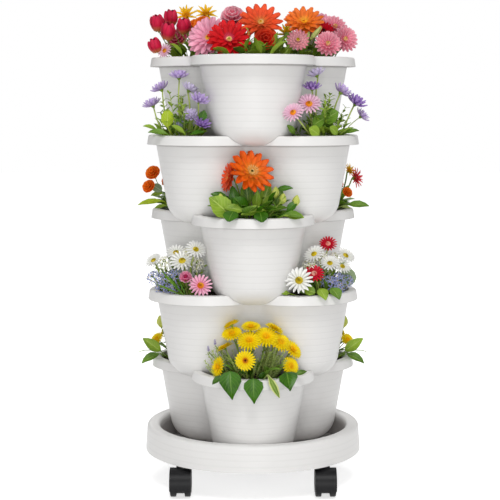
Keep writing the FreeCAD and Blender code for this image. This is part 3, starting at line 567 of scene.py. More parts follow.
def calyx(radius, depth, finish):
    """The green cup under a head."""
    clear()
    bpy.ops.mesh.primitive_cone_add(vertices=8, radius1=1.6 * MM, radius2=radius * MM, depth=depth * MM,
                                    location=(0, 0, -depth / 2 * MM))
    cup = finish_mesh(bpy.context.object, finish)
    bpy.ops.object.mode_set(mode="EDIT")
    bpy.ops.mesh.inset(thickness=0.1 * MM, depth=0, use_individual=True)
    bpy.ops.object.mode_set(mode="OBJECT")
    bpy.ops.object.transform_apply(location=True, rotation=True, scale=True)
    return cup


ripple = bpy.data.textures.new("ripple", "CLOUDS")
ripple.cloud_type, ripple.noise_scale, ripple.noise_depth = "COLOR", 0.016, 1
CUP_SHARE = 0.14


def head(name, width, rings, heart, ruffle=1.6, cup=None):
    """A whole head of a width in mm, its petals ruffled a little."""
    members = [whorl(*ring) for ring in rings] + heart
    members.append(cup or calyx(CUP_SHARE * width, CUP_SHARE * width, STEM_GREEN))
    whole = joined("head_" + name, members)
    applied(whole, "DISPLACE", texture=ripple, texture_coords="LOCAL", direction="RGB_TO_XYZ",
            strength=ruffle * MM, mid_level=0.5)
    whole["width"] = width * MM
    return whole


GOLD = petal_finish("heart_gold", (214, 132, 20), (238, 178, 34), (246, 200, 70), roughness=0.7)
AMBER = petal_finish("heart_amber", (190, 96, 16), (228, 132, 28), (240, 170, 60), roughness=0.7)
CREAM = petal_finish("heart_cream", (206, 150, 70), (232, 190, 110), (244, 214, 150), roughness=0.7)
LIME = petal_finish("heart_lime", (150, 150, 50), (196, 190, 80), (220, 210, 120), roughness=0.7)
DARK = petal_finish("heart_dark", (46, 20, 18), (72, 30, 26), (110, 50, 30), roughness=0.75)


def gerbera(name, outer, inner, heart, core, width=72):
    head(name, width, [
        ("broad", outer, 14, 0.96, 5, 2, 0, 0), ("broad", outer, 13, 0.9, 5, 14, 13, 1.0),
        ("broad", outer, 11, 0.62, 4.4, 30, 5, 2.2), ("narrow", inner, 18, 0.5, 4.4, 50, 5, 3.0)],
         [dome(5.4, 3.4, heart, 1.6), dome(2.8, 2.6, core, 3.2)], ruffle=3.6)


def daisy(name, petals, heart, width=34, heart_width=9.0, tilt=10):
    head(name, width, [
        ("narrow", petals, 17, 0.86, 3.4, tilt, 0, 0),
        ("narrow", petals, 15, 0.78, 3.2, tilt + 12, 10, 0.5)],
         [dome(heart_width / 2, 2.8, heart, 1.0)], ruffle=0.8)


def goblet(name, petals, heart, width=32):
    """A small cup-like head whose petals stand up round its heart."""
    head(name, width, [
        ("spoon", petals, 9, 1.0, 2.6, 20, 0, 0), ("spoon", petals, 9, 0.92, 2.2, 40, 20, 0.5),
        ("spoon", petals, 7, 0.76, 1.8, 62, 8, 1.0)], [dome(2.8, 2.4, heart, 1.4)], ruffle=2.2)


def aimed(direction):
    """The rotation that turns +Z to a direction."""
    return direction.to_track_quat("Z", "Y").to_matrix().to_4x4()


def posy(name, petals, heart, width=30, count=10):
    """A cluster of tiny five-petalled flowers on a low dome."""
    tiny = joined("tiny", [whorl("narrow", petals, 5, 0.46, 0.7, 8), dome(0.8, 0.7, heart, 0.4, knob=0.1)])
    radius, below = 12 * MM, Vector((0, 0, 0.8))
    flowers = []
    for number in range(count):
        lean, turn = 0.42 * math.sqrt(number), 2.4 * number
        out = Vector((math.sin(lean) * math.cos(turn), math.sin(lean) * math.sin(turn), math.cos(lean)))
        flowers.append(twin(tiny, Matrix.Translation((out - below) * radius) @ aimed(out)))
    bpy.data.objects.remove(tiny)
    whole = joined("head_" + name, flowers + [calyx(3.4, 4, STEM_GREEN)])
    whole["width"] = width * MM


def pompon(name, petals, heart, width=36):
    """A double head: many rings that rise to a full dome."""
    head(name, width, [
        ("spoon", petals, 17, 0.92, 3, 4, 0, 0), ("spoon", petals, 15, 0.82, 3, 20, 9, 1),
        ("spoon", petals, 13, 0.66, 2.6, 38, 3, 2), ("narrow", petals, 10, 0.5, 2, 58, 12, 3)],
         [dome(3.2, 3, heart, 3.2)], ruffle=1.6)


def double_daisy(name, petals, heart, core, width=36):
    """Three rings of narrow petals round a ringed heart."""
    head(name, width, [
        ("narrow", petals, 21, 1.06, 3.4, 3, 0, 0), ("narrow", petals, 20, 0.98, 3.2, 14, 9, 0.7),
        ("narrow", petals, 16, 0.78, 3.0, 30, 3, 1.5), ("narrow", heart, 12, 0.4, 2.4, 56, 12, 2.2)],
         [dome(3.6, 2.4, heart, 1.6), dome(2.1, 2.0, core, 2.8)], ruffle=1.6)


def carnation(name, petals, width=38):
    head(name, width, [
        ("frilled", petals, 9, 1.05, 2, 8, 0, 0), ("frilled", petals, 8, 0.98, 2, 26, 20, 2),
        ("frilled", petals, 7, 0.88, 1.6, 46, 5, 3.5), ("frilled", petals, 5, 0.76, 1, 66, 30, 5)],
         [dome(3, 3, petals, 8)], ruffle=2.6)


def spiky(name, petals, heart, width=36):
    head(name, width, [
        ("pointed", petals, 8, 0.85, 2, 6, 0, 0), ("pointed", petals, 8, 0.8, 2, 28, 22, 1.2),
        ("pointed", petals, 5, 0.62, 1.4, 56, 10, 2.4)], [dome(2.6, 2.4, heart, 1.6)], ruffle=1.0)


def tulip(name, petals, sepals, width=25):
    """A plump cup of six petals, just opening, on a bare stalk."""
    head(name, width, [
        ("tulip", petals, 3, 1.0, 4.6, 80, 0, 0), ("tulip", petals, 3, 1.04, 3.2, 84, 60, 0.6)],
         [dome(4.4, 7.0, petals, 8)], ruffle=2.4, cup=calyx(3.0, 3, sepals))


def closed_bud(name, petals, sepals, width=18, blade_kind="cupped"):
    """A closed bud: upright petals that meet over its tip, and sepals under them."""
    head(name, width, [
        (blade_kind, petals, 3, 1.0, 3.4, 88, 0, 0), (blade_kind, petals, 3, 0.95, 2.8, 90, 60, 0.4),
        ("pointed", sepals, 5, 0.7, 1.6, 62, 20, -1.0)], [dome(5.2, 9.0, petals, 12)], ruffle=0.6,
         cup=calyx(4.0, 4, sepals))


SEPAL = leaf_finish("sepal_green", (150, 170, 84), (180, 194, 120), (118, 140, 60))
OLIVE = petal_finish("heart_olive", (150, 132, 20), (198, 172, 30), (214, 190, 60), roughness=0.7)
MOSS = petal_finish("heart_moss", (70, 60, 20), (104, 92, 34), (140, 120, 50), roughness=0.7)
gerbera("gerbera_orange", petal_finish("orange_red", (236, 120, 60), (238, 84, 44), (248, 100, 60)),
        petal_finish("orange_inner", (240, 190, 110), (238, 120, 60), (240, 110, 60)), CREAM, GOLD)
gerbera("gerbera_red", petal_finish("clear_red", (190, 30, 40), (222, 24, 34), (232, 40, 44)),
        petal_finish("rose_inner", (236, 130, 140), (216, 70, 96), (208, 44, 70)), CREAM, LIME)
gerbera("gerbera_pink", petal_finish("pale_pink", (226, 120, 150), (242, 160, 186), (250, 188, 208)),
        petal_finish("pink_inner", (238, 190, 170), (238, 160, 184), (240, 176, 200)), GOLD, AMBER)
gerbera("gerbera_gold", petal_finish("gold_orange", (244, 160, 50), (246, 122, 44), (248, 132, 60)),
        petal_finish("gold_inner", (248, 200, 70), (248, 168, 60), (246, 150, 56)), GOLD, AMBER)
gerbera("gerbera_flame", petal_finish("flame", (246, 170, 60), (240, 108, 22), (238, 92, 34)),
        petal_finish("flame_ring", (230, 150, 70), (242, 180, 100), (246, 200, 130)), CREAM, MOSS)
ROSE = petal_finish("heart_rose", (206, 60, 70), (250, 170, 150), (252, 190, 170), roughness=0.7)
daisy("daisy_white",
      petal_finish("daisy_white", (220, 224, 206), (244, 244, 238), (248, 248, 246), 0.05), OLIVE)
daisy("daisy_blush",
      petal_finish("daisy_blush", (214, 140, 170), (234, 184, 208), (244, 206, 222), 0.07), AMBER)
daisy("daisy_crimson", petal_finish("daisy_crimson", (170, 0, 30), (208, 0, 44), (216, 4, 54)), ROSE)
daisy("daisy_pink", petal_finish("daisy_pink", (232, 120, 150), (246, 168, 198), (252, 198, 218)), AMBER)
goblet("aster_lavender", petal_finish("lavender", (184, 154, 206), (208, 182, 236), (224, 204, 246)), LIME)
goblet("aster_pale", petal_finish("pale_violet", (196, 180, 214), (220, 206, 240), (232, 222, 248)), LIME)
goblet("aster_violet", petal_finish("deep_violet", (124, 82, 160), (168, 130, 208), (196, 164, 230)), LIME)
YELLOW = petal_finish("yellow", (252, 176, 0), (255, 222, 0), (255, 234, 30), streak=0.04)
HONEY = petal_finish("heart_honey", (242, 176, 0), (250, 200, 0), (255, 214, 30), roughness=0.7)
double_daisy("sunny", YELLOW, AMBER, DARK)
double_daisy("double_yellow", YELLOW, HONEY, HONEY)
pompon("aster_pink", petal_finish("aster_pink", (224, 90, 120), (244, 146, 168), (255, 192, 204)), CREAM)
pompon("aster_mauve", petal_finish("aster_mauve", (214, 120, 160), (242, 160, 190), (255, 200, 216)), CREAM)
pompon("dahlia_red", petal_finish("dahlia_red", (130, 8, 24), (196, 18, 38), (212, 34, 52)), DARK)
pompon("maroon_edged", petal_finish("maroon_edged", (120, 20, 36), (250, 184, 190), (226, 130, 146)), OLIVE)
carnation("carnation_pink",
          petal_finish("carnation_pink", (226, 80, 116), (244, 130, 154), (255, 196, 208)))
carnation("marigold_orange",
          petal_finish("marigold_orange", (226, 66, 14), (250, 104, 22), (255, 142, 44), 0.06))
carnation("bloom_rose", petal_finish("bloom_rose", (190, 40, 70), (226, 70, 110), (240, 130, 150)))
carnation("bloom_red", petal_finish("bloom_red", (150, 16, 20), (216, 40, 30), (226, 70, 40)))
spiky("star_yellow", petal_finish("star_yellow", (214, 120, 16), (250, 196, 24), (252, 218, 50)), GOLD)
spiky("star_red", petal_finish("star_red", (150, 40, 50), (222, 50, 62), (236, 110, 120)), OLIVE)
posy("posy_blue", petal_finish("posy_blue", (190, 196, 226), (150, 158, 208), (172, 178, 222)), CREAM)
posy("posy_white", petal_finish("posy_white", (226, 230, 190), (246, 244, 226), (252, 250, 238)), LIME)
tulip("tulip_crimson", petal_finish("tulip_crimson", (176, 150, 70), (200, 22, 60), (216, 46, 84)), SEPAL)
closed_bud("bud_green", leaf_finish("bud_green", (196, 204, 96), (212, 216, 130), (160, 172, 70)), SEPAL,
           width=17)
closed_bud("lily_bud", leaf_finish("lily_bud_green", (204, 212, 128), (222, 226, 160), (176, 188, 96)),
           SEPAL, width=12, blade_kind="slim")
ROSE_OUTER = petal_finish("rose_outer", (214, 90, 130), (240, 150, 184), (248, 186, 208))
ROSE_MIDDLE = petal_finish("rose_middle", (196, 40, 90), (230, 96, 146), (240, 140, 176))
ROSE_CORE = petal_finish("rose_core", (120, 10, 40), (176, 24, 74), (206, 50, 100))
head("rosebud", 22, [
    ("frilled", ROSE_OUTER, 5, 0.72, 1.6, 46, 0, 0), ("frilled", ROSE_MIDDLE, 5, 0.6, 1.0, 64, 30, 1.6),
    ("frilled", ROSE_CORE, 4, 0.46, 0.4, 80, 10, 2.6)], [dome(2, 2, SEPAL, 1)], ruffle=1.6)

MID_GREEN = leaf_finish("leaf_mid_green", (96, 134, 38), (138, 164, 82), (62, 96, 22))
DEEP_GREEN = leaf_finish("leaf_deep_green", (62, 100, 24), (102, 134, 62), (38, 66, 16), roughness=0.3)
GLOSSY_GREEN = leaf_finish("leaf_glossy_green", (58, 104, 14), (96, 134, 48), (38, 76, 8), roughness=0.22)
FRESH_GREEN = leaf_finish("leaf_fresh_green", (134, 164, 50), (168, 190, 92), (100, 132, 34))
LIME_GREEN = leaf_finish("leaf_lime", (158, 182, 26), (186, 202, 84), (132, 156, 16))
GREY_GREEN = leaf_finish("leaf_grey_green", (160, 178, 98), (190, 202, 142), (124, 144, 70), roughness=0.6)
SAGE_GREEN = leaf_finish("leaf_sage_green", (132, 150, 112), (164, 178, 146), (104, 122, 88),
                         roughness=0.55)
VARIEGATED = leaf_finish("leaf_variegated", (104, 134, 44), (160, 176, 96), (76, 106, 30),
                         edge=(206, 212, 140))


# Feathery foliage and flowering sprigs: many small blades in ranks up one stalk. Each sort is
# modelled once, standing on the origin, and copied into the beds.
def ranks(shape, finishes, around, first, step, twist, lean, size, taper):
    """One rank for each finish: the heights are in mm, the twist and lean in degrees, the rest shares."""
    blades = []
    for rank, finish in enumerate(finishes):
        for number in range(around):
            turn = math.radians(360 / around * number + twist * rank)
            place = (Matrix.Translation((0, 0, (first + step * rank) * MM)) @ Matrix.Rotation(turn, 4, "Z")
                     @ Matrix.Rotation(math.radians(-lean), 4, "Y") @ Matrix.Scale(size - taper * rank, 4))
            blades.append(finish_mesh(twin(shape, place), finish))
    return blades


def spray(name, tall, thickness, finish, blades):
    """A whole sprig: its stalk, tall and thick in mm, with its blades."""
    stalk_up = stem(Vector(), Vector((0, 0, tall * MM)), thickness * MM, finish, 0)
    return joined(name, [stalk_up] + blades)


clear()
SPRIG_TALL = 62
BRANCH_GREENS = [MID_GREEN] * 4 + [FRESH_GREEN] * 3
LAVENDER_SPIKE = petal_finish("lavender_spike", (120, 104, 176), (146, 128, 200), (170, 154, 214))
FROND = spray("frond", 60, 0.7, GREY_GREEN,
              ranks(PETALS["pointed"], [GREY_GREEN] * 7, 2, 10, 7.5, 0, 48, 0.75, 0.07))
SPRIG = spray("sprig", SPRIG_TALL, 0.8, GREY_GREEN,
              ranks(PETALS["narrow"], [GREY_GREEN] * 9, 3, 6, 6.2, 47, 42, 0.5, 0))
BRANCH = spray("branch", 74, 0.6, STEM_PALE,
               ranks(LEAVES["oval"], BRANCH_GREENS, 2, 14, 9.4, 90, 34, 0.42, 0.035))
SPIKE_BLADES = ranks(PETALS["narrow"], [LAVENDER_SPIKE] * 5, 5, 0, 3.2, 36, 40, 0.42, 0.04)
joined("head_lavender_spike", SPIKE_BLADES)["width"] = 13 * MM


# Planting: every lobe's bed has its blooms on their stalks, each given by the kind, its place in mm
# from the lobe's middle at rim level (right, back, up), its width, and where it looks (turn, up).
BLOOMS = {
    (1, "front"): [
        ("gerbera_pink", -82, 24, 33, 80, -116, 24), ("gerbera_red", -44, -6, 28, 80, -92, 34),
        ("carnation_pink", -37, 57, 70, 48, -95, 40), ("gerbera_orange", 14, 14, 60, 80, -88, 38),
        ("bloom_red", 22, -12, 28, 40, -84, 10), ("maroon_edged", 82, -16, 27, 40, -88, 20)],
    (1, "back_left"): [
        ("tulip_crimson", -96, -23, 50, 26, -130, 74), ("tulip_crimson", -74, 7, 62, 25, -100, 78),
        ("tulip_crimson", -78, -49, 32, 27, -80, 74), ("tulip_crimson", -50, -31, 44, 25, -80, 76),
        ("tulip_crimson", -97, -42, 10, 23, -140, 60), ("bloom_rose", -62, 26, 36, 40, -110, 30),
        ("daisy_blush", -84, -50, 12, 32, -120, 16), ("star_yellow", -46, 26, 82, 46, -100, 40),
        ("star_yellow", -8, 20, 84, 46, -80, 50), ("marigold_orange", -11, -34, 60, 38, -95, 40),
        ("marigold_orange", -26, 2, 58, 34, -95, 40),
        ("gerbera_pink", -58, 44, 40, 62, 150, 40), ("aster_mauve", 16, 66, 44, 46, 100, 40),
        ("daisy_white", -20, 78, 26, 46, 120, 36)],
    (1, "back_right"): [
        ("gerbera_gold", 14, -29, 66, 76, -92, 48), ("aster_mauve", 50, 11, 66, 48, -80, 50),
        ("aster_pink", 74, 0, 58, 50, -70, 40), ("dahlia_red", 52, -22, 50, 38, -90, 30),
        ("aster_pink", 58, -58, 24, 50, -86, 24), ("aster_pink", 92, -31, 34, 50, -70, 16),
        ("lily_bud", 26, -54, 34, 9, -30, 46), ("lily_bud", 12, -52, 22, 9, -60, 50),
        ("aster_pink", 20, 60, 50, 44, 60, 40),
        ("gerbera_red", 62, 40, 42, 62, 30, 40), ("star_yellow", -16, 68, 48, 46, 90, 40),
        ("daisy_white", 30, 80, 24, 46, 60, 36)],
    (2, "left"): [
        ("aster_lavender", -53, -31, 106, 34, -100, 82), ("aster_lavender", -87, -21, 84, 34, 170, 62),
        ("aster_lavender", -103, -21, 54, 34, 170, 66), ("aster_pale", -34, -51, 82, 33, 20, 60),
        ("aster_lavender", -14, -92, 62, 34, -50, 60), ("aster_pale", -29, -71, 34, 30, -90, 50),
        ("aster_violet", -10, -82, 20, 30, -60, 50), ("posy_blue", -50, -60, 24, 20, -100, 40)],
    (2, "right"): [
        ("aster_pale", 34, -49, 110, 33, 160, 70), ("aster_violet", 24, -64, 85, 32, -95, 76),
        ("aster_lavender", 80, -21, 78, 36, 20, 50), ("aster_violet", 106, -26, 58, 38, -30, 56),
        ("aster_lavender", 118, -8, 34, 30, 0, 40), ("daisy_blush", 18, -73, 57, 48, -92, 38),
        ("daisy_blush", -12, -119, 42, 42, -112, 34)],
    (2, "back"): [
        ("aster_lavender", -48, 52, 90, 30, 100, 60), ("aster_violet", 30, 60, 100, 30, 80, 60),
        ("daisy_blush", 0, 72, 68, 38, 90, 34), ("aster_pale", 58, 50, 64, 28, 60, 50),
        ("aster_lavender", -20, 86, 46, 28, 100, 40)],
    (3, "front"): [
        ("gerbera_flame", -4, -62, 81, 84, -64, 32), ("gerbera_orange", -42, -50, 71, 54, -160, 12),
        ("bud_green", -58, -73, 24, 12.5, -100, 70), ("bud_green", 40, -73, 36, 12.5, -80, 74),
        ("bud_green", 52, -73, 25, 12.5, -70, 66), ("bud_green", 76, -70, 21, 12.5, -60, 70)],
    (3, "back_left"): [
        ("marigold_orange", -110, -14, 68, 31, -112, 34),
        ("marigold_orange", -118, -14, 42, 28, -120, 26),
        ("bloom_rose", -50, 52, 64, 40, 130, 40), ("marigold_orange", -84, 40, 50, 28, 150, 40)],
    (3, "back_right"): [
        ("star_yellow", 103, -14, 73, 32, -30, 34), ("star_red", 114, -20, 60, 42, -24, 12),
        ("marigold_orange", 98, -34, 32, 22, -60, 30), ("bloom_rose", 50, 50, 58, 40, 50, 40),
        ("marigold_orange", 84, 44, 44, 26, 30, 40)],
    (4, "left"): [
        ("daisy_white", -104, -11, 54, 38, -130, 50), ("daisy_white", -61, -21, 70, 42, -100, 54),
        ("daisy_white", -22, -76, 82, 42, -70, 44), ("daisy_white", -48, -53, 58, 50, -96, 46),
        ("posy_blue", -106, -30, 28, 32, -120, 40), ("posy_blue", -84, -54, 30, 30, -110, 50),
        ("posy_blue", -62, -63, 36, 34, -110, 40), ("posy_blue", -88, -56, 12, 30, -110, 40),
        ("posy_blue", -66, -70, 10, 30, -90, 30), ("posy_white", -36, -44, 76, 34, -100, 50),
        ("posy_white", -84, -20, 56, 34, -120, 50), ("posy_white", -20, -60, 58, 32, -80, 40),
        ("rosebud", -40, -78, 26, 30, -92, 36), ("daisy_pink", -13, -84, 16, 46, -86, 30)],
    (4, "right"): [
        ("daisy_white", 30, -55, 71, 42, -120, 46), ("daisy_white", 60, -41, 52, 40, -90, 50),
        ("daisy_white", 91, -11, 63, 42, -50, 46), ("daisy_white", 84, -31, 45, 36, -70, 46),
        ("daisy_white", 0, -103, 28, 54, -92, 30), ("daisy_crimson", 58, -12, 86, 36, -90, 44),
        ("daisy_crimson", 29, -74, 37, 40, -80, 44), ("posy_blue", 60, -56, 22, 34, -80, 40),
        ("posy_blue", 78, -50, 28, 32, -60, 46), ("posy_blue", 96, -36, 22, 30, -50, 40),
        ("posy_blue", 74, -62, 10, 32, -80, 30), ("posy_white", 44, -30, 66, 34, -90, 50),
        ("posy_white", 20, -64, 54, 32, -100, 40), ("posy_white", 74, -16, 64, 30, -60, 50)],
    (4, "back"): [
        ("daisy_white", -46, 60, 70, 36, 110, 40), ("daisy_crimson", 14, 66, 82, 34, 80, 40),
        ("daisy_white", 52, 56, 52, 36, 60, 40), ("posy_blue", -16, 84, 44, 32, 90, 40)],
    (5, "front"): [
        ("double_yellow", -40, -52, 92, 30, 150, 58), ("double_yellow", -39, -58, 76, 36, -110, 60),
        ("double_yellow", -4, -54, 88, 34, -90, 74), ("double_yellow", -7, -68, 64, 42, -92, 50),
        ("double_yellow", 24, -60, 70, 42, -84, 48), ("double_yellow", 50, -58, 60, 38, -60, 44),
        ("double_yellow", 39, -50, 84, 34, 0, 62), ("double_yellow", 72, -55, 46, 38, -30, 40),
        ("double_yellow", 68, -70, 18, 34, -50, 24), ("double_yellow", -52, -55, 50, 32, 170, 62),
        ("sunny", -14, -108, 36, 35, -92, 14), ("double_yellow", -64, -72, 17, 36, -150, 14),
        ("lavender_spike", -82, -60, 44, 9, -110, 76), ("lavender_spike", -70, -60, 56, 9, -100, 80)],
    (5, "back_left"): [
        ("double_yellow", -105, -16, 34, 28, -140, 40), ("bud_green", -97, -12, 58, 14, -120, 76),
        ("double_yellow", -50, 50, 62, 34, 130, 40), ("sunny", -88, 30, 46, 30, 160, 40)],
    (5, "back_right"): [
        ("double_yellow", 102, -16, 32, 28, -50, 40), ("bud_green", 95, -12, 58, 14, -60, 76),
        ("double_yellow", 46, 54, 64, 34, 50, 40), ("sunny", 88, 32, 44, 30, 20, 40)],
}
# Leaves of each bed: the blade, its finish, how many, how far they stand from the bed's middle, how
# high their roots reach, the lean between two angles, and their size
TUFTS = {
    1: [("broad", FRESH_GREEN, 20, 56, 6, (14, 58), 0.66), ("oval", FRESH_GREEN, 30, 66, 14, (30, 76), 0.7),
        ("broad", MID_GREEN, 12, 54, 6, (12, 50), 0.6)],
    2: [("broad", FRESH_GREEN, 9, 44, 3, (10, 50), 0.5), ("oval", FRESH_GREEN, 26, 48, 22, (24, 76), 0.5),
        ("round", FRESH_GREEN, 8, 48, 16, (14, 50), 0.62)],
    3: [("broad", MID_GREEN, 12, 44, 6, (4, 50), 0.8), ("oval", GLOSSY_GREEN, 20, 46, 20, (10, 60), 0.72),
        ("round", MID_GREEN, 10, 44, 14, (4, 40), 1.0)],
    4: [("long", MID_GREEN, 8, 44, 4, (24, 72), 0.6), ("oval", MID_GREEN, 26, 46, 24, (20, 70), 0.45),
        ("oval", FRESH_GREEN, 14, 46, 24, (20, 70), 0.4), ("round", MID_GREEN, 5, 46, 12, (14, 46), 0.8)],
    5: [("oval", MID_GREEN, 14, 46, 12, (20, 66), 0.75), ("oval", GLOSSY_GREEN, 8, 44, 6, (10, 46), 0.7)],
}
# Leaves that the eye picks out: the blade, its finish, its root and tip in mm from the lobe's middle,
# where its face looks (turn, up), and how wide it is for its length
PLACED = {
    (2, "left"): [
        ("round", LIME_GREEN, (-74, -64, 16), (-72, -68, 48), -92, 6, 0.8),
        ("round", GLOSSY_GREEN, (-10, -82, 28), (-5, -86, 46), -80, 10, 0.9),
        ("oval", MID_GREEN, (-72, -80, 3), (-108, -80, 8), -100, 50, 1.3),
        ("oval", FRESH_GREEN, (-95, -34, 10), (-120, -40, 18), -120, 50, 1.4),
        ("oval", FRESH_GREEN, (-40, -86, 3), (-64, -92, 20), -90, 50, 1.3),
        ("oval", GLOSSY_GREEN, (-30, -86, 3), (-6, -94, 8), -90, 50, 1.5)],
    (2, "right"): [
        ("round", MID_GREEN, (42, -58, 24), (72, -60, 44), -90, 40, 1.1),
        ("round", MID_GREEN, (26, -70, 18), (46, -76, 32), -90, 30, 1.1),
        ("round", FRESH_GREEN, (36, -86, 2), (18, -92, 14), -90, 30, 1.1),
        ("round", FRESH_GREEN, (70, -76, 3), (56, -82, 16), -80, 40, 1.1),
        ("oval", MID_GREEN, (84, -46, 3), (112, -50, 10), -60, 50, 1.4),
        ("oval", MID_GREEN, (-8, -90, 3), (-22, -100, 20), -90, 30, 1.6)],
    (3, "front"): [
        ("broad", FRESH_GREEN, (-40, -84, 2), (-78, -92, 38), -96, 30, 1.25),
        ("oval", GLOSSY_GREEN, (-44, -70, 30), (-76, -74, 44), -100, 40, 1.6),
        ("round", GLOSSY_GREEN, (-14, -72, 12), (-34, -80, 36), -95, 20, 1.0),
        ("broad", FRESH_GREEN, (4, -66, 14), (8, -80, 50), -85, 10, 0.7),
        ("broad", FRESH_GREEN, (22, -96, 14), (-22, -100, 8), -90, 40, 0.8),
        ("oval", FRESH_GREEN, (-14, -90, 12), (-52, -94, 20), -90, 40, 1.5),
        ("oval", FRESH_GREEN, (56, -82, 4), (92, -84, 2), -85, 40, 1.6),
        ("oval", GLOSSY_GREEN, (60, -74, 10), (80, -78, 30), -85, 20, 1.6),
        ("oval", GLOSSY_GREEN, (40, -66, 48), (72, -70, 54), -85, 40, 1.2),
        ("round", GLOSSY_GREEN, (-36, -100, 13), (-44, -121, -3), -95, 50, 1.1),
        ("round", GLOSSY_GREEN, (12, -104, 12), (16, -124, -4), -88, 50, 1.1),
        ("oval", MID_GREEN, (58, -92, 8), (90, -84, 3), -80, 50, 1.6),
        ("broad", MID_GREEN, (-8, -54, 20), (-14, -54, 66), -92, 10, 0.9),
        ("broad", FRESH_GREEN, (16, -54, 20), (30, -54, 60), -88, 10, 0.9),
        ("oval", MID_GREEN, (40, -60, 16), (52, -62, 52), -86, 10, 1.5),
        ("oval", GLOSSY_GREEN, (-30, -58, 16), (-38, -58, 56), -95, 10, 1.5)],
    (3, "back_right"): [
        ("oval", MID_GREEN, (98, -18, 7), (143, -22, 7), -85, 40, 1.15),
        ("oval", FRESH_GREEN, (88, -16, 26), (104, -18, 46), -80, 20, 1.2),
        ("oval", GREY_GREEN, (86, -20, 4), (106, -24, 2), -80, 50, 1.4)],
    (3, "back_left"): [
        ("oval", LIME_GREEN, (-90, -16, 14), (-141, -18, 9), -95, 40, 0.8),
        ("oval", FRESH_GREEN, (-90, -12, 30), (-116, -14, 26), -95, 40, 1.3),
        ("round", SAGE_GREEN, (-94, -14, 34), (-112, -16, 46), -95, 20, 0.9),
        ("oval", FRESH_GREEN, (-84, -18, 6), (-108, -22, 2), -95, 40, 1.2)],
    (4, "left"): [
        ("long", MID_GREEN, (-44, -92, 0), (-86, -88, 46), -90, 10, 0.75),
        ("long", GLOSSY_GREEN, (-46, -92, 0), (-72, -92, 38), -90, 10, 0.8),
        ("long", GLOSSY_GREEN, (-40, -92, 0), (-56, -92, 34), -90, 10, 0.8),
        ("long", MID_GREEN, (-50, -90, 0), (-96, -84, 20), -90, 20, 0.75)],
    (4, "right"): [
        ("round", SAGE_GREEN, (90, -20, 6), (98, -20, 42), -80, 10, 1.0),
        ("broad", MID_GREEN, (60, -82, 12), (75, -102, -6), -70, 40, 1.3),
        ("broad", FRESH_GREEN, (38, -94, 12), (49, -116, -5), -80, 40, 1.2),
        ("round", FRESH_GREEN, (10, -98, 10), (30, -102, 6), -90, 40, 1.1),
        ("oval", FRESH_GREEN, (-16, -96, 3), (-36, -100, 6), -90, 40, 1.6)],
    (5, "front"): [
        ("heart", GLOSSY_GREEN, (-42, -117, 18), (-38, -122, -34), -96, 6, 1.0),
        ("heart", GLOSSY_GREEN, (0, -119, 5), (2, -123, -41), -90, 6, 1.0),
        ("heart", GLOSSY_GREEN, (60, -109, 15), (68, -114, -19), -70, 8, 1.35),
        ("oval", VARIEGATED, (26, -117, 12), (48, -122, -30), -84, 6, 0.9),
        ("oval", DEEP_GREEN, (-56, -107, 9), (-74, -114, -6), -110, 20, 1.5),
        ("oval", MID_GREEN, (76, -88, 6), (98, -84, 12), -70, 40, 1.4)],
    (5, "back_left"): [
        ("broad", FRESH_GREEN, (-96, -26, 10), (-132, -32, 38), -110, 30, 0.8),
        ("broad", MID_GREEN, (-98, -34, 7), (-134, -46, -8), -110, 44, 0.8),
        ("long", FRESH_GREEN, (-98, -30, 8), (-140, -42, 16), -110, 70, 0.5)],
    (5, "back_right"): [
        ("broad", FRESH_GREEN, (96, -26, 10), (132, -32, 38), -70, 30, 0.8),
        ("broad", MID_GREEN, (98, -34, 7), (134, -46, -8), -70, 44, 0.8),
        ("long", FRESH_GREEN, (98, -30, 8), (140, -42, 16), -70, 70, 0.5)],
}


# Needled sprigs that lean out of a bed: root and tip in mm from the lobe's middle
SPRAYS = {(5, "front"): [((-56, -64, -8), (-84, -62, 42)), ((-54, -64, -8), (-68, -62, 54)),
                         ((-60, -68, -8), (-90, -72, 30)), ((-50, -64, -8), (-76, -66, 48)),
                         ((-62, -72, -8), (-86, -80, 20)), ((-46, -64, -8), (-58, -60, 50))]}


# Sprays strewn in each bed of a tier: the sort, how many in the front bed and in another, how tall
STREWN = {1: [(BRANCH, 8, 8, 1.0)], 2: [(BRANCH, 20, 20, 1.15)], 3: [(BRANCH, 6, 6, 0.9)],
          4: [(BRANCH, 16, 16, 0.95)], 5: [(FROND, 60, 18, 1.15), (SPRIG, 18, 18, 1.0)]}
# Beds: how far out from the lobe's middle they lie, and how deep and how far from the bed's middle
# stalks are rooted. The top tier's are wider, since no pot stands over it
BED_OUT, TOP_BED_OUT = 52 * MM, 0
ROOT_DEPTH, ROOT_SHARE = 1 * MM, 0.55
ROOT_REACH, TOP_ROOT_REACH = 34 * MM, 66 * MM
TOP_SPREAD = 1.4
# Heads: how far the stalk ends behind one and the round before it that no leaf crosses, both as
# shares of its width, and the stalks of heads under and over a width in mm
HEAD_NECK, HEAD_COVER = 0.13, 0.42
SMALL_HEAD, THIN_STALK, THICK_STALK = 32, 0.9 * MM, 1.5 * MM
# Leaves: the stalk, how often a place is tried, and the gaps to the pot above, to the wall and
# over the rim; sprays: how far out of the lobe's middle they reach, and the gap to the pot above
LEAF_STALK, LEAF_TRIES = 0.8 * MM, 30
POT_GAP, WALL_GAP, RIM_GAP = 7 * MM, 4 * MM, 3 * MM
SPRAY_REACH, SPRAY_GAP = 96 * MM, 10 * MM


def looking(turn, rise):
    """The direction at a turn from +X and a rise from the level, in degrees."""
    turn, rise = math.radians(turn), math.radians(rise)
    return Vector((math.cos(turn) * math.cos(rise), math.sin(turn) * math.cos(rise), math.sin(rise)))


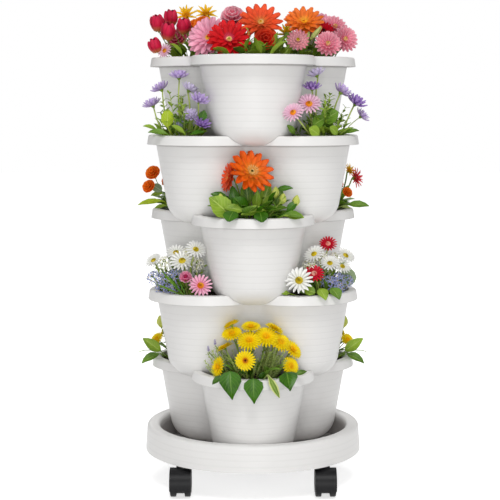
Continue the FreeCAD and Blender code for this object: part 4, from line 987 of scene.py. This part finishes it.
def laid(kind, finish, root, tip, face, width):
    """A leaf from its root to its tip, its upper side turned to face a direction."""
    length = max(point.co.x for point in LEAVES[kind].data.vertices)
    along = (tip - root) / length
    share = along.length
    up = (face - along * (face.dot(along) / along.length_squared)).normalized()
    beside = up.cross(along.normalized())
    matrix = from_columns(along, beside * share * width, up * share, root)
    return finish_mesh(twin(LEAVES[kind], matrix), finish)


def hides(blooms, lobe, point):
    """True where a point stands in front of a bloom's face."""
    for kind, right, back, up, width, turn, rise in blooms:
        facing = looking(turn, rise)
        offset = point - lobe - Vector((right, back, up)) * MM
        before = offset.dot(facing)
        if before > 0 and (offset - facing * before).length < HEAD_COVER * width * MM:
            return True
    return False


def planted(tier, lobe, bed, bloom):
    """A bloom's head in its place, and its stalk from the soil near the middle of the bed."""
    kind, right, back, up, width, turn, rise = bloom
    master = bpy.data.objects["head_" + kind]
    place = lobe + Vector((right, back, up)) * MM
    facing = looking(turn, rise)
    spin = Matrix.Rotation(dice.uniform(0, 6.28), 4, "Z")
    size = width * MM / master["width"]
    flower = twin(master, Matrix.Translation(place) @ aimed(facing) @ spin @ Matrix.Scale(size, 4))
    neck = place - facing * HEAD_NECK * width * MM
    towards = Vector((neck.x - bed.x, neck.y - bed.y, 0))
    reach = TOP_ROOT_REACH if tier == 1 else ROOT_REACH
    root = bed + towards.normalized() * min(reach, ROOT_SHARE * towards.length)
    thickness = THIN_STALK if width < SMALL_HEAD else THICK_STALK
    finish = STEM_PALE if tier in (2, 4) else STEM_GREEN
    return flower, stem(root, neck, thickness, finish, dice.uniform(0, 6.28))


def support(bed, root, share, finish, turn):
    """A leaf's own stalk: it starts in the soil, at a share of the way from the bed's middle."""
    foot = bed.lerp(root, share)
    foot.z = bed.z
    return stem(foot, root, LEAF_STALK, finish, turn)


def chance_leaf(bed, heights, spread, leans, size):
    """A place where a leaf may grow: its root, its turn from +X and its matrix. One draw is spare."""
    way, spare = dice.uniform(0, 6.28), dice.random()
    root = bed + level_way(way) * spread * MM * math.sqrt(dice.random())
    root.z = dice.uniform(*heights)
    turn = math.atan2(root.y - bed.y, root.x - bed.x) + dice.uniform(-0.9, 0.9)
    lean, grown = math.radians(dice.uniform(*leans)), size * dice.uniform(0.75, 1.15)
    place = (Matrix.Translation(root) @ Matrix.Rotation(turn, 4, "Z") @ Matrix.Rotation(-lean, 4, "Y")
             @ Matrix.Rotation(dice.uniform(-0.5, 0.5), 4, "X") @ Matrix.Scale(grown, 4))
    return root, turn, place


def has_room(tier, lobe, blooms, points):
    """True where a leaf's points hide no bloom and stay clear of its own pot and of the one above."""
    if any(hides(blooms, lobe, point) for point in points[1:]):
        return False
    own = nodes[f"tier_{tier}"]
    return all(clear_of(pot_above(tier), point, POT_GAP) for point in points) and all(
        point.z > lobe.z + RIM_GAP or clear_of(own, point, WALL_GAP) for point in points[1:])


def chance_spray(bed, tall):
    """A place where a spray may grow, leaning outwards."""
    root = bed + level_way(dice.uniform(0, 6.28)) * dice.uniform(0, 40) * MM
    turn = math.atan2(root.y - bed.y, root.x - bed.x)
    lean = math.radians(dice.uniform(5, 50))
    return (Matrix.Translation(root) @ Matrix.Rotation(turn, 4, "Z") @ Matrix.Rotation(lean, 4, "Y")
            @ Matrix.Rotation(dice.uniform(0, 6), 4, "Z") @ Matrix.Scale(tall * dice.uniform(0.8, 1.1), 4))


for (tier, side), blooms in BLOOMS.items():
    rim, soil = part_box(f"tier_{tier}")[1].z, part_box(f"potting_mix_tier_{tier}")[1].z
    lobe = lobe_middle(side, rim)
    outwards = lobe.xy.normalized().to_3d()
    bed = lobe + outwards * (TOP_BED_OUT if tier == 1 else BED_OUT)
    bed.z = soil - ROOT_DEPTH
    heads, greens = [], []
    for bloom in blooms:
        flower, stalk_up = planted(tier, lobe, bed, bloom)
        heads.append(flower)
        greens.append(stalk_up)
    for kind, finish, root, tip, turn, rise, width in PLACED.get((tier, side), []):
        root, tip = lobe + Vector(root) * MM, lobe + Vector(tip) * MM
        greens.append(laid(kind, finish, root, tip, looking(turn, rise), width))
        greens.append(support(bed, root, 0.45, finish, math.radians(turn)))
    for kind, finish, count, spread, lift, leans, size in TUFTS[tier]:
        wide = TOP_SPREAD * spread if tier == 1 and side != "front" else spread
        length = max(point.co.x for point in LEAVES[kind].data.vertices)
        for leaf in range(count):
            for attempt in range(LEAF_TRIES):
                root, turn, place = chance_leaf(bed, (soil, rim + lift * MM), wide, leans, size)
                points = [place @ Vector((share * length, 0, 0)) for share in (0, 0.5, 1)]
                if has_room(tier, lobe, blooms, points):
                    greens.append(finish_mesh(twin(LEAVES[kind], place), finish))
                    if root.z > soil + RIM_GAP:
                        greens.append(support(bed, root, 0.7, finish, turn))
                    break
    for sort, in_front, elsewhere, tall in STREWN[tier]:
        for number in range(in_front if side == "front" else elsewhere):
            place = chance_spray(bed, tall)
            points = [place @ Vector((0, 0, height * MM)) for height in (36, 52, 66)]
            hidden = any(hides(blooms, lobe, point) for point in points)
            inside = (points[-1] - lobe).dot(outwards) < SPRAY_REACH
            if not hidden and inside and clear_of(pot_above(tier), points[-1], SPRAY_GAP):
                greens.append(twin(sort, place))
    for root, tip in SPRAYS.get((tier, side), []):
        root, tip = lobe + Vector(root) * MM, lobe + Vector(tip) * MM
        grown = Matrix.Scale((tip - root).length / (SPRIG_TALL * MM), 4)
        greens.append(twin(SPRIG, Matrix.Translation(root) @ aimed(tip - root) @ grown))
    name = f"tier_{tier}_{side}"
    flowers, foliage = joined("blooms_" + name, heads), joined("foliage_" + name, greens)
    for piece in (flowers, foliage):
        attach(piece, f"tier_{tier}_unit")
    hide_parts("flowers_" + name)
masters = [thing for thing in scene.objects if thing.name.startswith("head_")]
for piece in [stalk, FROND, SPRIG, BRANCH, *PETALS.values(), *LEAVES.values(), *masters]:
    bpy.data.objects.remove(piece)


# Floor and backdrop: a wide sheet of white studio paper, which glows enough for the camera to see
# it white and still takes the soft shadow under the saucer.
clear()
bpy.ops.mesh.primitive_plane_add(size=16, location=(0, 3, 0))
floor = bpy.context.object
floor.name = "floor"
bpy.ops.object.transform_apply(location=True)
PAPER_GLOW = 0.64
paper, tree, shader = surface("studio_paper", (0.82, 0.82, 0.82), 0.9)
seen = node(tree, "LightPath").outputs
looked_at = maths(tree, "MAXIMUM", seen["Is Camera Ray"], seen["Is Glossy Ray"])
shader.inputs["Emission Color"].default_value = (1, 1, 1, 1)
tree.links.new(maths(tree, "MULTIPLY", looked_at, PAPER_GLOW), shader.inputs["Emission Strength"])
floor.data.materials.append(paper)


# Room and lamps: a plain bright room that the camera sees white, and three round softboxes: one low
# in front, one high in front and one high behind.
ROOM_LIGHT, BACKDROP_LIGHT = 0.46, 1.0
world = bpy.data.worlds.new("studio")
scene.world = world
world.use_nodes = True
tree = world.node_tree
backdrop = tree.nodes["Background"]
backdrop.inputs["Color"].default_value = (1, 1, 1, 1)
seen = node(tree, "LightPath").outputs
looked_at = maths(tree, "MAXIMUM", seen["Is Camera Ray"], seen["Is Transmission Ray"])
strength = ranged(tree, looked_at, 0, 1, ROOM_LIGHT, BACKDROP_LIGHT, smooth=False)
tree.links.new(strength, backdrop.inputs["Strength"])


def softbox(name, place, target, size, power):
    """A round lamp of a width in metres and a power in watts, aimed at a target."""
    light = bpy.data.lights.new(name, "AREA")
    light.shape, light.size, light.energy = "DISK", size, power
    lamp = bpy.data.objects.new(name, light)
    lamp.location = place
    lamp.rotation_euler = (Vector(target) - Vector(place)).to_track_quat("-Z", "Y").to_euler()
    scene.collection.objects.link(lamp)


softbox("front_softbox", (0.0, -3.6, 0.8), (0, 0, 0.4), 1.7, 33)
softbox("top_softbox", (0.3, -3.9, 6.0), (0, 0, 0.3), 2.4, 160)
softbox("back_softbox", (-0.4, 4.6, 4.6), (0, 0, 0.4), 2.4, 90)
scene.view_settings.view_transform = "Standard"


# Camera: it stands where the photo's camera stood. Its place, lens and tilt bring the rims and the
# saucer to where the photo has them.
camera = bpy.data.cameras.new("photo_view")
camera.sensor_width, camera.lens = 36, 99.68
viewer = bpy.data.objects.new("photo_view", camera)
viewer.location = (-0.0057, -2.6717, 0.7393)
viewer.rotation_euler = (math.radians(83.726), 0, 0)
scene.collection.objects.link(viewer)
scene.camera = viewer
